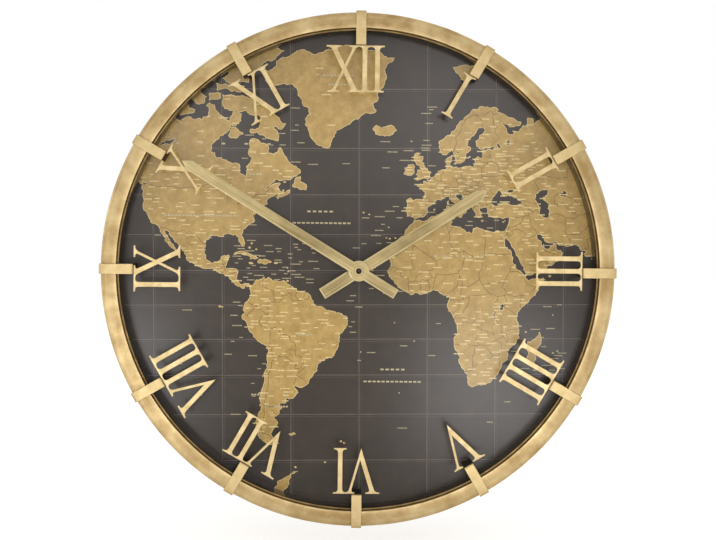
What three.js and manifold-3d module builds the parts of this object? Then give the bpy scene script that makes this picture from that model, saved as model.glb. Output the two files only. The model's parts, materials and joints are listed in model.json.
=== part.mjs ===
// A large round wall clock: a deep brass rim with twelve straps that carry cut-out Roman numerals
// in front of a flat world-map dial, two hands, and a battery movement behind the dial.
// Sizes are in millimetres. The clock is drawn lying on its back, 12 o'clock at +Y and depth from
// the wall along +Z, and the last group stands it up: front towards -Y, 12 o'clock at +Z.

import * as THREE from 'three';
import { mergeVertices } from 'three/addons/utils/BufferGeometryUtils.js';
import Module from 'manifold-3d';

const wasm = await Module();
wasm.setup();

// Clearances
const fit = 0.3;              // between pieces that sit together
const sheetFit = 0.5;         // between rolled sheet pieces
const overshoot = 1;          // how far a cutting tool runs past what it cuts

// Rim: a band and a face of rolled sheet, together a channel that is open towards the wall
const rimRadius = 300;
const rimDepth = 61;          // wall to the inner arris of the face
const rimFaceWidth = 18;
const rimFaceFall = 1.2;      // how much lower the face is at its outer edge
const rimFaceCrown = 0.24;    // and at its middle, so that the face is slightly rounded
const rimEdgeRadius = 3;
const rimSheet = 1.5;

// Liner: the thin hoop inside the rim
const linerThickness = 2.2;
const linerDrop = 5;          // its front edge below the rim's inner arris

// Dial panel
const dialThickness = 5;
const gasketThickness = 1.4;  // rubber washer between the movement and the panel

// Straps over the rim, one at each hour
const strapWidth = 11.8;
const strapThickness = 1.6;
const strapInnerReach = 20;   // how far they stand in past the rim's face
const strapOuterLeg = 26;
const strapBendRadius = 1.8;  // inside radius of its two bends

// Numerals, cut from plate
const numeralHeight = 54;
const numeralThickness = 2;
const numeralDrop = 2.3;      // front of the numerals below the underside of the straps
const stemWidth = 5.4;
const thinWidth = 2.8;
const serifThickness = 1.7;
const bracketSize = 4;        // height and reach of the curve between a stroke and its serif
const bracketShare = 0.85;    // of a serif's free length, at most
const serifReachOuter = 8.3;  // from a stem's middle to the end of its serif nearer the rim
const serifReachInner = 7.4;
const thinSerifReach = 6.8;
const veeSerifReach = 5.7;
const veeSpread = 26.9;       // between the middles of a V's two arms, at the serifs
const exSpread = 24.5;
const stemPitch = 14.6;
const veeToStem = 24.6;
const exToStem = 24;
const stemToEx = 26.3;

// Each hour's numeral, and how far its middle hangs clockwise of the strap's middle
const numerals = [
  ['XII', -6.2], ['I', -4.1], ['II', -3], ['III', -2.1], ['IIII', -1.5], ['V', -2.7],
  ['VI', 0.4], ['VII', -3.5], ['VIII', -8.1], ['IX', 0.6], ['X', -2.1], ['XI', -0.4],
];

// Hands
const handEyeRadius = 12;
const handThickness = 1.5;
const handBevelWidth = 1.7;
const handBevelDepth = 0.8;
const handClearance = 2.5;    // numerals to the minute hand
const handSpacing = 3;        // hour hand to the minute hand
const minuteHandReach = 241.5;
const minuteHandTail = 51;
const minuteHandWidth = 12.2;
const minutePointLength = 10;
const hourHandReach = 177;
const hourHandTail = 50.5;
const hourHandWidth = 13.8;
const hourPointLength = 11;

// The time that the hands show, in degrees clockwise from 12
const minuteHandAngle = 301.5;
const hourHandAngle = 57.4;

// Bushes that grip the hands
const hourBushWall = 2.4;
const hourBushFlange = 2;     // how far it stands out beyond the bush
const hourBushLength = 3.2;
const minuteBushHoleRadius = 3.15;
const minuteBushWall = 1.3;
const minuteBushFlange = 1.2;
const minuteBushFlangeThickness = 0.9;
const minuteBushSeat = 0.5;   // depth of the hole's floor behind the hand
const pipeStandOut = 0.5;     // hour pipe in front of the hour hand

// Movement case and its battery bay
const wallGap = 0.9;          // wall to the setting knob
const caseSize = 56;
const caseCorner = 4;
const caseWall = 1.5;
const dividerWall = 1.2;
const coverThickness = 1.4;
const casePlay = 0.8;         // last pinion to the inside of the case
const batteryRadius = 7;
const batteryLength = 49.3;
const batteryNubRadius = 2.7;
const batteryNubLength = 1.2;
const contactThickness = 0.5;
const contactWidth = 13.6;
const contactTail = 5;        // solder tail in the corner of the bay
const contactTailWidth = 0.9;

// Threaded bush, nut and washer that clamp the dial
const threadWall = 1.2;
const threadClearance = 3.8;  // front of the thread to the hour hand's bush
const bushFlange = 2.2;
const dialHolePlay = 1;
const gasketWidth = 6;
const washerWidth = 5;
const washerThickness = 1;
const nutAcrossFlats = 13;
const nutThickness = 3;

// Arbors and pivots
const minuteArborRadius = 1.6;
const hourPipeWall = 0.6;
const arborRadius = 0.9;
const pivotRadius = 0.5;
const pivotLength = 0.7;      // how far a pivot reaches into its socket
const knobStemRadius = 1.5;
const knobRadius = 7;
const knobThickness = 2.5;
const knobGap = 0.6;          // between the knob and the cover
const knobFlutes = 12;
const knobFluteDepth = 0.5;
const arborClearance = 0.5;   // between an arbor and what it passes

// Wheels. A gear's module is its pitch diameter over its number of teeth
const trainModule = 0.4;
const setModule = 0.6;
const addendum = 0.8;         // tooth height outside and inside the pitch circle, in modules
const dedendum = 1.25;
const rootShare = 0.26;       // half a tooth's width at root and tip, as shares of the pitch
const tipShare = 0.1;
const wheelThickness = 0.9;
const pinionThickness = 1.7;
const levelGap = 0.3;
const cannonTeeth = 10;
const motionTeeth = 30;
const knobTeeth = 10;
const motionPinionTeeth = 10;
const hourTeeth = 40;
const centreTeeth = 48;
const thirdTeeth = 40;
const thirdPinionTeeth = 8;
const fourthTeeth = 40;
const fourthPinionTeeth = 10;
const rotorPinionTeeth = 8;

// Directions from one axis to the next, in degrees from +X towards 12 o'clock
const motionBearing = 35;
const knobBearing = -40;
const thirdBearing = 150;
const fourthBearing = 70;
const rotorBearing = 10;

// Motor and circuit
const magnetRadius = 2.8;
const magnetThickness = 1.5;
const magnetGap = 0.8;        // magnet to the rotor's pinion
const statorGap = 0.7;        // magnet to the stator
const statorThickness = 1;
const statorRing = 2.6;
const statorArm = 3.4;
const coilRadius = 3.4;
const coilFlangeRadius = 3.9;
const coilFlange = 0.8;
const coilLength = 17;
const coreWidth = 2.4;
const coreThickness = 1;
const boardWidth = 6.2;
const boardLength = 26;
const boardThickness = 1;
const crystalRadius = 1;
const crystalLength = 6;

// Hanger and dial clips
const hangerWidth = 26;
const hangerHeight = 40;
const hangerFoot = 12;
const hangerSheet = 1.5;
const hangerBack = 2;         // wall to the hanger's plate
const hangerInset = 64;       // outside of the rim to the middle of the hanger
const keyholeRadius = 5;
const keyholeSlot = 5;
const keyholeTravel = 10;
const clipCount = 6;
const clipWidth = 14;
const clipSheet = 1.2;
const clipLeg = 13;

// Facets
const rimFacets = 72;
const smallFacets = 18;
const tinyFacets = 8;
const curveSteps = 3;
const bendSteps = 2;
const eyeSteps = 6;

// Depths of the movement, from the wall forward
const coverBack = wallGap + knobThickness + knobGap;
const coverInside = coverBack + coverThickness;
const caseBack = coverInside + fit;
const rotorLevel = caseBack + magnetThickness + magnetGap;
const levelStep = pinionThickness + levelGap;
const fourthLevel = rotorLevel + levelStep;
const thirdLevel = fourthLevel + levelStep;
const cannonLevel = thirdLevel + levelStep;
const motionLevel = cannonLevel + levelStep;
const caseInside = motionLevel + pinionThickness + casePlay;
const caseFront = caseInside + caseWall;
const wheelInset = (pinionThickness - wheelThickness) / 2;

// Depths of the dial, numerals and hands
const dialBack = caseFront + 2 * fit + gasketThickness;
const dialFront = dialBack + dialThickness;
const strapUnderside = rimDepth + fit;
const numeralFront = strapUnderside - numeralDrop;
const minuteHandBack = numeralFront + handClearance;
const hourHandBack = minuteHandBack - handSpacing - handThickness;
const hourPipeFront = hourHandBack + handThickness + pipeStandOut;
const threadFront = hourHandBack - hourBushLength - threadClearance;

// Radii that follow
const rimInnerRadius = rimRadius - rimFaceWidth;
const strapInnerRadius = rimInnerRadius - strapInnerReach;
const hangerRadius = rimRadius - hangerInset;
const dialRadius = rimRadius - rimSheet - sheetFit;
const hourPipeBore = minuteArborRadius + fit;
const hourPipeRadius = hourPipeBore + hourPipeWall;
const threadBore = hourPipeRadius + fit;
const threadRadius = threadBore + threadWall;
const dialHoleRadius = threadRadius + dialHolePlay;

// Axes of the movement
const hourModule = (setModule * (cannonTeeth + motionTeeth)) / (motionPinionTeeth + hourTeeth);
const centreAxis = new THREE.Vector2(0, 0);
const motionAxis = nextAxis(centreAxis, setModule, cannonTeeth + motionTeeth, motionBearing);
const knobAxis = nextAxis(motionAxis, setModule, motionTeeth + knobTeeth, knobBearing);
const thirdAxis = nextAxis(centreAxis, trainModule, centreTeeth + thirdPinionTeeth, thirdBearing);
const fourthAxis = nextAxis(thirdAxis, trainModule, thirdTeeth + fourthPinionTeeth, fourthBearing);
const rotorAxis = nextAxis(fourthAxis, trainModule, fourthTeeth + rotorPinionTeeth, rotorBearing);

// Battery bay and circuit
const inside = caseSize / 2 - caseWall;
const bayMiddleY = -inside + fit + batteryRadius;
const bayMiddleZ = caseInside - fit - batteryRadius;
const dividerLow = bayMiddleY + batteryRadius + fit;
const dividerHigh = dividerLow + dividerWall;
const coilX = inside - coilFlangeRadius - fit;
const coilY = inside - 2 * fit - statorArm - coilLength / 2;

const brass = finish(0xb99c62, 0.45, 0.85);
const paleBrass = finish(0xd8c188, 0.4, 0.85);
const darkPrint = finish(0x554c48, 0.75, 0);
const steel = finish(0xa8a9ab, 0.35, 0.9);
const blackPlastic = finish(0x1d1d1f, 0.6, 0);
const whitePlastic = finish(0xe9e7e0, 0.55, 0);
const blackRubber = finish(0x262626, 0.9, 0);
const copper = finish(0xb06a3a, 0.4, 0.8);
const circuitGreen = finish(0x2f6b45, 0.6, 0);
const batteryBlue = finish(0x3c4a5c, 0.5, 0.2);

const clock = new THREE.Group();

// Shared makers

function finish(color, roughness, metalness) {
  return new THREE.MeshStandardMaterial({ color, roughness, metalness });
}

function point(radius, degrees) {
  const angle = THREE.MathUtils.degToRad(degrees);
  return new THREE.Vector2(radius * Math.cos(angle), radius * Math.sin(angle));
}

function arc(centre, radius, from, to, steps) {
  return Array.from({ length: steps + 1 }, (_, step) =>
    point(radius, from + ((to - from) * step) / steps).add(centre));
}

// A flat piece from its outline, standing between two depths
function plate(shape, back, front) {
  const options = { depth: front - back, bevelEnabled: false, curveSegments: curveSteps };
  return new THREE.ExtrudeGeometry(shape, options).translate(0, 0, back);
}

// A turned piece from its half section of [radius, depth] pairs, closed on the axis or on itself
function turned(section, facets = smallFacets) {
  const points = section.map(([radius, depth]) => new THREE.Vector2(radius, depth));
  return new THREE.LatheGeometry(points, facets).rotateX(Math.PI / 2);
}

function tube(bore, radius, back, front, facets = smallFacets) {
  return turned([[bore, back], [radius, back], [radius, front], [bore, front], [bore, back]], facets);
}

function rod(radius, back, front, facets = smallFacets) {
  return turned([[0, back], [radius, back], [radius, front], [0, front]], facets);
}

function block(left, right, low, high, back, front) {
  return new THREE.BoxGeometry(right - left, high - low, front - back)
    .translate((left + right) / 2, (low + high) / 2, (back + front) / 2);
}

function roundedRectangle(left, right, low, high, corner) {
  const shape = new THREE.Shape();
  shape.moveTo(right - corner, low);
  shape.absarc(right - corner, low + corner, corner, -Math.PI / 2, 0);
  shape.absarc(right - corner, high - corner, corner, 0, Math.PI / 2);
  shape.absarc(left + corner, high - corner, corner, Math.PI / 2, Math.PI);
  shape.absarc(left + corner, low + corner, corner, Math.PI, 1.5 * Math.PI);
  shape.closePath();
  return shape;
}

// Booleans

function toSolid(geometry) {
  const bare = new THREE.BufferGeometry();
  bare.setAttribute('position', geometry.getAttribute('position').clone());
  bare.setIndex(geometry.getIndex());
  const merged = mergeVertices(bare, 1e-4);
  const corners = merged.getIndex().array;
  const triangles = [];
  for (let at = 0; at < corners.length; at += 3) {
    const [a, b, c] = corners.slice(at, at + 3);
    if (a !== b && b !== c && c !== a) triangles.push(a, b, c);
  }
  return new wasm.Manifold(new wasm.Mesh({
    numProp: 3,
    vertProperties: new Float32Array(merged.getAttribute('position').array),
    triVerts: new Uint32Array(triangles),
  }));
}

function toGeometry(solid) {
  const mesh = solid.getMesh();
  const geometry = new THREE.BufferGeometry();
  geometry.setAttribute('position', new THREE.BufferAttribute(new Float32Array(mesh.vertProperties), 3));
  geometry.setIndex(new THREE.BufferAttribute(new Uint32Array(mesh.triVerts), 1));
  geometry.computeVertexNormals();
  return geometry;
}

function join(...geometries) {
  return toGeometry(geometries.map(toSolid).reduce((whole, next) => whole.add(next)));
}

function cut(geometry, ...tools) {
  return toGeometry(tools.map(toSolid).reduce((whole, tool) => whole.subtract(tool), toSolid(geometry)));
}

// Placing

function add(name, geometry, material, group = clock) {
  const mesh = new THREE.Mesh(geometry, material);
  mesh.name = name;
  group.add(mesh);
}

function groupAt(axis, clockwise = 0) {
  const group = new THREE.Group();
  group.position.set(axis.x, axis.y, 0);
  group.rotation.z = -THREE.MathUtils.degToRad(clockwise);
  clock.add(group);
  return group;
}

// Rim, liner and dial

// The outer band turns in over the face's edge, and the face turns down into the inner wall
function bandGeometry() {
  const edgeFront = rimDepth - rimFaceFall;
  const edgeCentre = new THREE.Vector2(rimRadius - rimEdgeRadius, edgeFront - rimEdgeRadius);
  const edge = arc(edgeCentre, rimEdgeRadius, 0, 90, bendSteps).map(({ x, y }) => [x, y]);
  const underside = edgeFront - rimSheet;
  return turned([
    [rimRadius, 0],
    ...edge,
    [rimRadius - rimEdgeRadius, underside],
    [rimRadius - rimSheet, underside - rimEdgeRadius + rimSheet],
    [rimRadius - rimSheet, 0],
    [rimRadius, 0],
  ], rimFacets);
}

function faceGeometry() {
  const edgeFront = rimDepth - rimFaceFall;
  const faceOuterRadius = rimRadius - rimEdgeRadius - fit;
  const wallBottom = dialFront + fit;
  return turned([
    [faceOuterRadius, edgeFront],
    [rimRadius - rimFaceWidth / 2, rimDepth - rimFaceCrown],
    [rimInnerRadius, rimDepth],
    [rimInnerRadius, wallBottom],
    [rimInnerRadius + rimSheet, wallBottom],
    [rimInnerRadius + rimSheet, edgeFront - rimSheet],
    [faceOuterRadius, edgeFront - rimSheet],
    [faceOuterRadius, edgeFront],
  ], rimFacets);
}

function addCase() {
  const linerRadius = rimInnerRadius - sheetFit;
  const linerBore = linerRadius - linerThickness;
  add('outer_rim', bandGeometry(), brass);
  add('rim_face', faceGeometry(), brass);
  add('inner_liner', tube(linerBore, linerRadius, dialFront + fit, rimDepth - linerDrop, rimFacets), brass);
  add('dial_panel', cut(
    rod(dialRadius, dialBack, dialFront, rimFacets),
    rod(dialHoleRadius, dialBack - overshoot, dialFront + overshoot),
  ), darkPrint);
}

// Straps: outer leg, top and inner leg, bent from one flat bar

function strapGeometry() {
  const innerLeg = strapInnerRadius + strapThickness;
  const outerLeg = rimRadius + fit;
  const bend = strapUnderside - strapBendRadius;
  const innerBend = new THREE.Vector2(innerLeg + strapBendRadius, bend);
  const outerBend = new THREE.Vector2(outerLeg - strapBendRadius, bend);
  const outside = strapBendRadius + strapThickness;
  const legEnd = strapUnderside - strapOuterLeg;
  const foot = dialFront + fit;
  const section = new THREE.Shape([
    new THREE.Vector2(strapInnerRadius, foot),
    new THREE.Vector2(innerLeg, foot),
    ...arc(innerBend, strapBendRadius, 180, 90, bendSteps),
    ...arc(outerBend, strapBendRadius, 90, 0, bendSteps),
    new THREE.Vector2(outerLeg, legEnd),
    new THREE.Vector2(outerLeg + strapThickness, legEnd),
    ...arc(outerBend, outside, 0, 90, curveSteps),
    ...arc(innerBend, outside, 90, 180, curveSteps),
  ]);
  const bar = plate(section, -strapWidth / 2, strapWidth / 2);
  return bar.rotateX(Math.PI / 2).rotateZ(Math.PI / 2);
}

// Numerals

// One serif with the brackets that carry it, entered along one flank and left along the other.
// end is 1 at the rim and -1 towards the hands, and lean is how far the stroke moves across per
// unit of height.
function serif(end, middle, half, lean, reach) {
  const inner = end * (numeralHeight / 2 - serifThickness);
  const outer = (end * numeralHeight) / 2;
  const bracketReach = Math.min(bracketSize, bracketShare * (reach - half));
  const bracket = (side) => new THREE.QuadraticBezierCurve(
    new THREE.Vector2(middle + side * half - end * bracketSize * lean, inner - end * bracketSize),
    new THREE.Vector2(middle + side * half, inner),
    new THREE.Vector2(middle + side * (half + bracketReach), inner),
  ).getPoints(curveSteps);
  return [
    ...bracket(end),
    new THREE.Vector2(middle + end * reach, inner),
    new THREE.Vector2(middle + end * reach, outer),
    new THREE.Vector2(middle - end * reach, outer),
    new THREE.Vector2(middle - end * reach, inner),
    ...bracket(-end).reverse(),
  ];
}

function slantedHalfWidth(width, lean) {
  return (width / 2) * Math.hypot(1, lean);
}

function stroke(bottom, top, width, reachInner, reachOuter) {
  const lean = (top - bottom) / (numeralHeight - 2 * serifThickness);
  const half = slantedHalfWidth(width, lean);
  return new THREE.Shape([
    ...serif(-1, bottom, half, lean, reachInner),
    ...serif(1, top, half, lean, reachOuter),
  ]);
}

// The V's outer flanks run to one point, and its inner flanks meet above it
function vee() {
  const foot = -numeralHeight / 2;
  const serifLine = numeralHeight / 2 - serifThickness;
  const lean = veeSpread / 2 / (serifLine - foot);
  const thick = slantedHalfWidth(stemWidth, lean);
  const thin = slantedHalfWidth(thinWidth, lean);
  const thickLean = (veeSpread / 2 + thick) / (serifLine - foot);
  const thinLean = (veeSpread / 2 + thin) / (serifLine - foot);
  const notch = (veeSpread - thick - thin) / (thickLean + thinLean);
  return new THREE.Shape([
    new THREE.Vector2(0, foot),
    ...serif(1, veeSpread / 2, thin, thinLean, veeSerifReach),
    new THREE.Vector2(thick - veeSpread / 2 + notch * thickLean, serifLine - notch),
    ...serif(1, -veeSpread / 2, thick, -thickLean, serifReachOuter),
  ]);
}

function letterShapes(letter) {
  if (letter === 'V') return [vee()];
  if (letter === 'X') {
    return [
      stroke(exSpread / 2, -exSpread / 2, stemWidth, serifReachInner, serifReachOuter),
      stroke(-exSpread / 2, exSpread / 2, thinWidth, thinSerifReach, thinSerifReach),
    ];
  }
  return [stroke(0, 0, stemWidth, serifReachInner, serifReachOuter)];
}

const letterSpacing = { II: stemPitch, VI: veeToStem, XI: exToStem, IX: stemToEx };
const leftReach = {
  I: serifReachOuter,
  V: veeSpread / 2 + serifReachOuter,
  X: exSpread / 2 + serifReachOuter,
};
const rightReach = {
  I: serifReachOuter,
  V: veeSpread / 2 + veeSerifReach,
  X: exSpread / 2 + thinSerifReach,
};

function numeralGeometry(text) {
  const letters = [...text];
  const places = letters.map(() => 0);
  for (let at = 1; at < letters.length; at += 1) {
    places[at] = places[at - 1] + letterSpacing[letters[at - 1] + letters[at]];
  }
  const left = -leftReach[letters[0]];
  const right = places.at(-1) + rightReach[letters.at(-1)];
  const middle = (left + right) / 2;
  const plates = letters.flatMap((letter, at) => letterShapes(letter).map((shape) =>
    plate(shape, numeralFront - numeralThickness, numeralFront).translate(places[at] - middle, 0, 0)));
  const middleRadius = strapInnerRadius - fit - numeralHeight / 2;
  return join(...plates).translate(0, middleRadius, 0);
}

function addHours() {
  numerals.forEach(([text, shift], hour) => {
    const group = groupAt(centreAxis, hour * 30);
    add(`strap_${hour || 12}`, strapGeometry(), paleBrass, group);
    add(`numeral_${text}`, numeralGeometry(text).translate(shift, 0, 0), paleBrass, group);
  });
}

// Hands: a round eye, a blade with a point and a square tail, bevelled at the front

function handGeometry(width, reach, tail, pointLength, holeRadius, back) {
  const half = width / 2;
  const eyeSide = THREE.MathUtils.radToDeg(Math.asin(half / handEyeRadius));
  const shape = new THREE.Shape([
    new THREE.Vector2(half, reach - pointLength),
    new THREE.Vector2(0, reach),
    new THREE.Vector2(-half, reach - pointLength),
    ...arc(centreAxis, handEyeRadius, 90 + eyeSide, 270 - eyeSide, eyeSteps),
    new THREE.Vector2(-half, -tail),
    new THREE.Vector2(half, -tail),
    ...arc(centreAxis, handEyeRadius, -90 + eyeSide, 90 - eyeSide, eyeSteps),
  ]);
  const front = back + handThickness;
  const blank = new THREE.ExtrudeGeometry(shape, {
    depth: handThickness,
    bevelSegments: 1,
    bevelThickness: handBevelDepth,
    bevelSize: handBevelWidth,
    bevelOffset: -handBevelWidth,
    curveSegments: curveSteps,
  }).translate(0, 0, back - handBevelDepth);
  const behind = block(-reach, reach, -reach, 2 * reach, back - 2 * handBevelDepth, back);
  return cut(blank, behind, rod(holeRadius, back - overshoot, front + overshoot));
}

function addHands() {
  const hourBore = hourPipeRadius + fit;
  const hourBushRadius = hourBore + hourBushWall;
  const hourFront = hourHandBack + handThickness;
  const hourBushBack = hourHandBack - hourBushLength;
  const hourGroup = groupAt(centreAxis, hourHandAngle);
  add('hour_hand', handGeometry(hourHandWidth, hourHandReach, hourHandTail, hourPointLength,
    hourBushRadius + fit, hourHandBack), paleBrass, hourGroup);
  add('hour_hand_bush', turned([
    [hourBore, hourBushBack],
    [hourBushRadius + hourBushFlange, hourBushBack],
    [hourBushRadius + hourBushFlange, hourHandBack - fit],
    [hourBushRadius, hourHandBack - fit],
    [hourBushRadius, hourFront],
    [hourBore, hourFront],
    [hourBore, hourBushBack],
  ]), paleBrass, hourGroup);

  const minuteBore = minuteArborRadius + fit;
  const minuteBushRadius = minuteBushHoleRadius + minuteBushWall;
  const minuteBushBack = hourPipeFront + fit;
  const flangeBack = minuteHandBack + handThickness + fit;
  const flangeFront = flangeBack + minuteBushFlangeThickness;
  const flangeRadius = minuteBushRadius + minuteBushFlange;
  const seat = minuteHandBack - minuteBushSeat;
  const minuteGroup = groupAt(centreAxis, minuteHandAngle);
  add('minute_hand', handGeometry(minuteHandWidth, minuteHandReach, minuteHandTail, minutePointLength,
    minuteBushRadius + fit, minuteHandBack), paleBrass, minuteGroup);
  add('minute_hand_bush', turned([
    [minuteBore, minuteBushBack],
    [minuteBushRadius, minuteBushBack],
    [minuteBushRadius, flangeBack],
    [flangeRadius, flangeBack],
    [flangeRadius, flangeFront],
    [minuteBushHoleRadius, flangeFront],
    [minuteBushHoleRadius, seat],
    [minuteBore, seat],
    [minuteBore, minuteBushBack],
  ]), paleBrass, minuteGroup);
}

// Gears

function nextAxis(axis, module, teeth, bearing) {
  return point((module * teeth) / 2, bearing).add(axis);
}

function gear(teeth, module, phase, back, front) {
  const pitchRadius = (module * teeth) / 2;
  const root = pitchRadius - dedendum * module;
  const tip = pitchRadius + addendum * module;
  const pitch = 360 / teeth;
  const outline = Array.from({ length: teeth }, (_, tooth) => {
    const middle = phase + tooth * pitch;
    return [
      point(root, middle - rootShare * pitch),
      point(tip, middle - tipShare * pitch),
      point(tip, middle + tipShare * pitch),
      point(root, middle + rootShare * pitch),
    ];
  });
  return plate(new THREE.Shape(outline.flat()), back, front);
}

// The phase that puts a gear in mesh with another that lies in a known phase
function meshPhase(otherTeeth, otherPhase, bearing, teeth) {
  const past = THREE.MathUtils.euclideanModulo(bearing - otherPhase, 360 / otherTeeth);
  return bearing + 180 + (past * otherTeeth) / teeth + 180 / teeth;
}

// A stepped arbor from the cover's socket to the case's socket
function arbor(radius) {
  return turned([
    [0, coverInside - pivotLength],
    [pivotRadius, coverInside - pivotLength],
    [pivotRadius, coverInside + fit],
    [radius, coverInside + fit],
    [radius, caseInside - fit],
    [pivotRadius, caseInside - fit],
    [pivotRadius, caseInside + pivotLength],
    [0, caseInside + pivotLength],
  ], tinyFacets);
}

function wheelGeometry(teeth, module, phase, level) {
  return gear(teeth, module, phase, level + wheelInset, level + wheelInset + wheelThickness);
}

function pinionGeometry(teeth, module, phase, level) {
  return gear(teeth, module, phase, level, level + pinionThickness);
}

function addTrain() {
  const cannonPhase = meshPhase(motionTeeth, 0, motionBearing + 180, cannonTeeth);
  const knobPhase = meshPhase(motionTeeth, 0, knobBearing, knobTeeth);
  const hourPhase = meshPhase(motionPinionTeeth, 0, motionBearing + 180, hourTeeth);
  const thirdPinionPhase = meshPhase(centreTeeth, 0, thirdBearing, thirdPinionTeeth);
  const fourthPinionPhase = meshPhase(thirdTeeth, 0, fourthBearing, fourthPinionTeeth);
  const rotorPhase = meshPhase(fourthTeeth, 0, rotorBearing, rotorPinionTeeth);
  const minuteGroup = groupAt(centreAxis);
  const motionGroup = groupAt(motionAxis);
  const thirdGroup = groupAt(thirdAxis);
  const fourthGroup = groupAt(fourthAxis);

  add('minute_arbor', join(
    turned([
      [0, coverInside - pivotLength],
      [pivotRadius, coverInside - pivotLength],
      [pivotRadius, coverInside + fit],
      [arborRadius, coverInside + fit],
      [arborRadius, cannonLevel],
      [minuteArborRadius, cannonLevel],
      [minuteArborRadius, minuteHandBack - fit],
      [0, minuteHandBack - fit],
    ]),
    pinionGeometry(cannonTeeth, setModule, cannonPhase, cannonLevel),
  ), steel, minuteGroup);
  add('centre_wheel', cut(
    wheelGeometry(centreTeeth, trainModule, 0, thirdLevel),
    rod(arborRadius + fit, thirdLevel, thirdLevel + pinionThickness),
  ), whitePlastic, minuteGroup);
  add('hour_wheel', cut(
    join(
      wheelGeometry(hourTeeth, hourModule, hourPhase, motionLevel),
      rod(hourPipeRadius, motionLevel + wheelInset, hourPipeFront),
    ),
    rod(hourPipeBore, motionLevel, hourPipeFront + overshoot),
  ), whitePlastic, minuteGroup);
  add('motion_wheel', join(
    wheelGeometry(motionTeeth, setModule, 0, cannonLevel),
    pinionGeometry(motionPinionTeeth, hourModule, 0, motionLevel),
    arbor(arborRadius),
  ), whitePlastic, motionGroup);
  add('third_wheel', join(
    wheelGeometry(thirdTeeth, trainModule, 0, fourthLevel),
    pinionGeometry(thirdPinionTeeth, trainModule, thirdPinionPhase, thirdLevel),
    arbor(arborRadius),
  ), whitePlastic, thirdGroup);
  add('fourth_wheel', join(
    wheelGeometry(fourthTeeth, trainModule, 0, rotorLevel),
    pinionGeometry(fourthPinionTeeth, trainModule, fourthPinionPhase, fourthLevel),
    arbor(arborRadius),
  ), whitePlastic, fourthGroup);
  add('rotor', join(
    rod(magnetRadius, caseBack, caseBack + magnetThickness),
    pinionGeometry(rotorPinionTeeth, trainModule, rotorPhase, rotorLevel),
    arbor(arborRadius),
  ), steel, groupAt(rotorAxis));
  add('setting_knob', knobGeometry(knobPhase), blackPlastic, groupAt(knobAxis));
}

function knobGeometry(phase) {
  const back = wallGap;
  const front = back + knobThickness;
  const flutes = Array.from({ length: knobFlutes }, (_, flute) => {
    const middle = (flute * 360) / knobFlutes;
    const quarter = 90 / knobFlutes;
    return [
      point(knobRadius, middle - quarter),
      point(knobRadius, middle + quarter),
      point(knobRadius - knobFluteDepth, middle + 2 * quarter),
    ];
  });
  const stem = turned([
    [0, front - fit],
    [knobStemRadius, front - fit],
    [knobStemRadius, cannonLevel + pinionThickness / 2],
    [arborRadius, cannonLevel + pinionThickness / 2],
    [arborRadius, caseInside - fit],
    [pivotRadius, caseInside - fit],
    [pivotRadius, caseInside + pivotLength],
    [0, caseInside + pivotLength],
  ], tinyFacets);
  return join(
    plate(new THREE.Shape(flutes.flat()), back, front),
    stem,
    pinionGeometry(knobTeeth, setModule, phase, cannonLevel),
  );
}

// Movement case, cover, battery and contacts

const pivotedAxes = [motionAxis, thirdAxis, fourthAxis, rotorAxis];

function socket(axis, back, front) {
  return rod(pivotRadius + fit, back, front, tinyFacets).translate(axis.x, axis.y, 0);
}

function addMovementCase() {
  const half = caseSize / 2;
  const reach = pivotLength + fit;
  const shell = cut(
    plate(roundedRectangle(-half, half, -half, half, caseCorner), caseBack, caseFront),
    block(-inside, inside, dividerHigh, inside, caseBack - overshoot, caseInside),
    block(-inside, inside, -inside, dividerLow, caseBack - overshoot, caseInside),
    rod(threadRadius + fit, caseInside - overshoot, caseFront + overshoot),
    ...[...pivotedAxes, knobAxis].map((axis) => socket(axis, caseInside - overshoot, caseInside + reach)),
  );
  const cover = cut(
    plate(roundedRectangle(-half, half, dividerLow, half, caseCorner / 2), coverBack, coverInside),
    rod(knobStemRadius + fit, coverBack - overshoot, coverInside + overshoot)
      .translate(knobAxis.x, knobAxis.y, 0),
    ...[...pivotedAxes, centreAxis].map((axis) => socket(axis, coverInside - reach, coverInside + overshoot)),
  );
  add('movement_case', shell, blackPlastic);
  add('movement_cover', cover, blackPlastic);
}

function addBattery() {
  const cell = turned([
    [0, 0],
    [batteryRadius, 0],
    [batteryRadius, batteryLength],
    [batteryNubRadius, batteryLength],
    [batteryNubRadius, batteryLength + batteryNubLength],
    [0, batteryLength + batteryNubLength],
  ]).rotateY(Math.PI / 2);
  const left = -(batteryLength + batteryNubLength) / 2;
  add('battery', cell.translate(left, bayMiddleY, bayMiddleZ), batteryBlue);
  const contact = (side) => {
    const outer = side * (inside - fit);
    const inner = outer - side * contactThickness;
    const tail = outer - side * contactTail;
    const low = bayMiddleY - contactWidth / 2;
    const high = bayMiddleY + contactWidth / 2;
    const front = caseInside - fit;
    const span = (a, b) => [Math.min(a, b), Math.max(a, b)];
    return join(
      block(...span(outer, inner), low, high, caseBack, front),
      block(...span(outer, tail), high - contactTailWidth, high, front - contactThickness, front),
    );
  };
  add('negative_contact', contact(-1), steel);
  add('positive_contact', contact(1), steel);
}

// Motor: a stator that closes round the rotor, and a coil on its core

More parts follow.
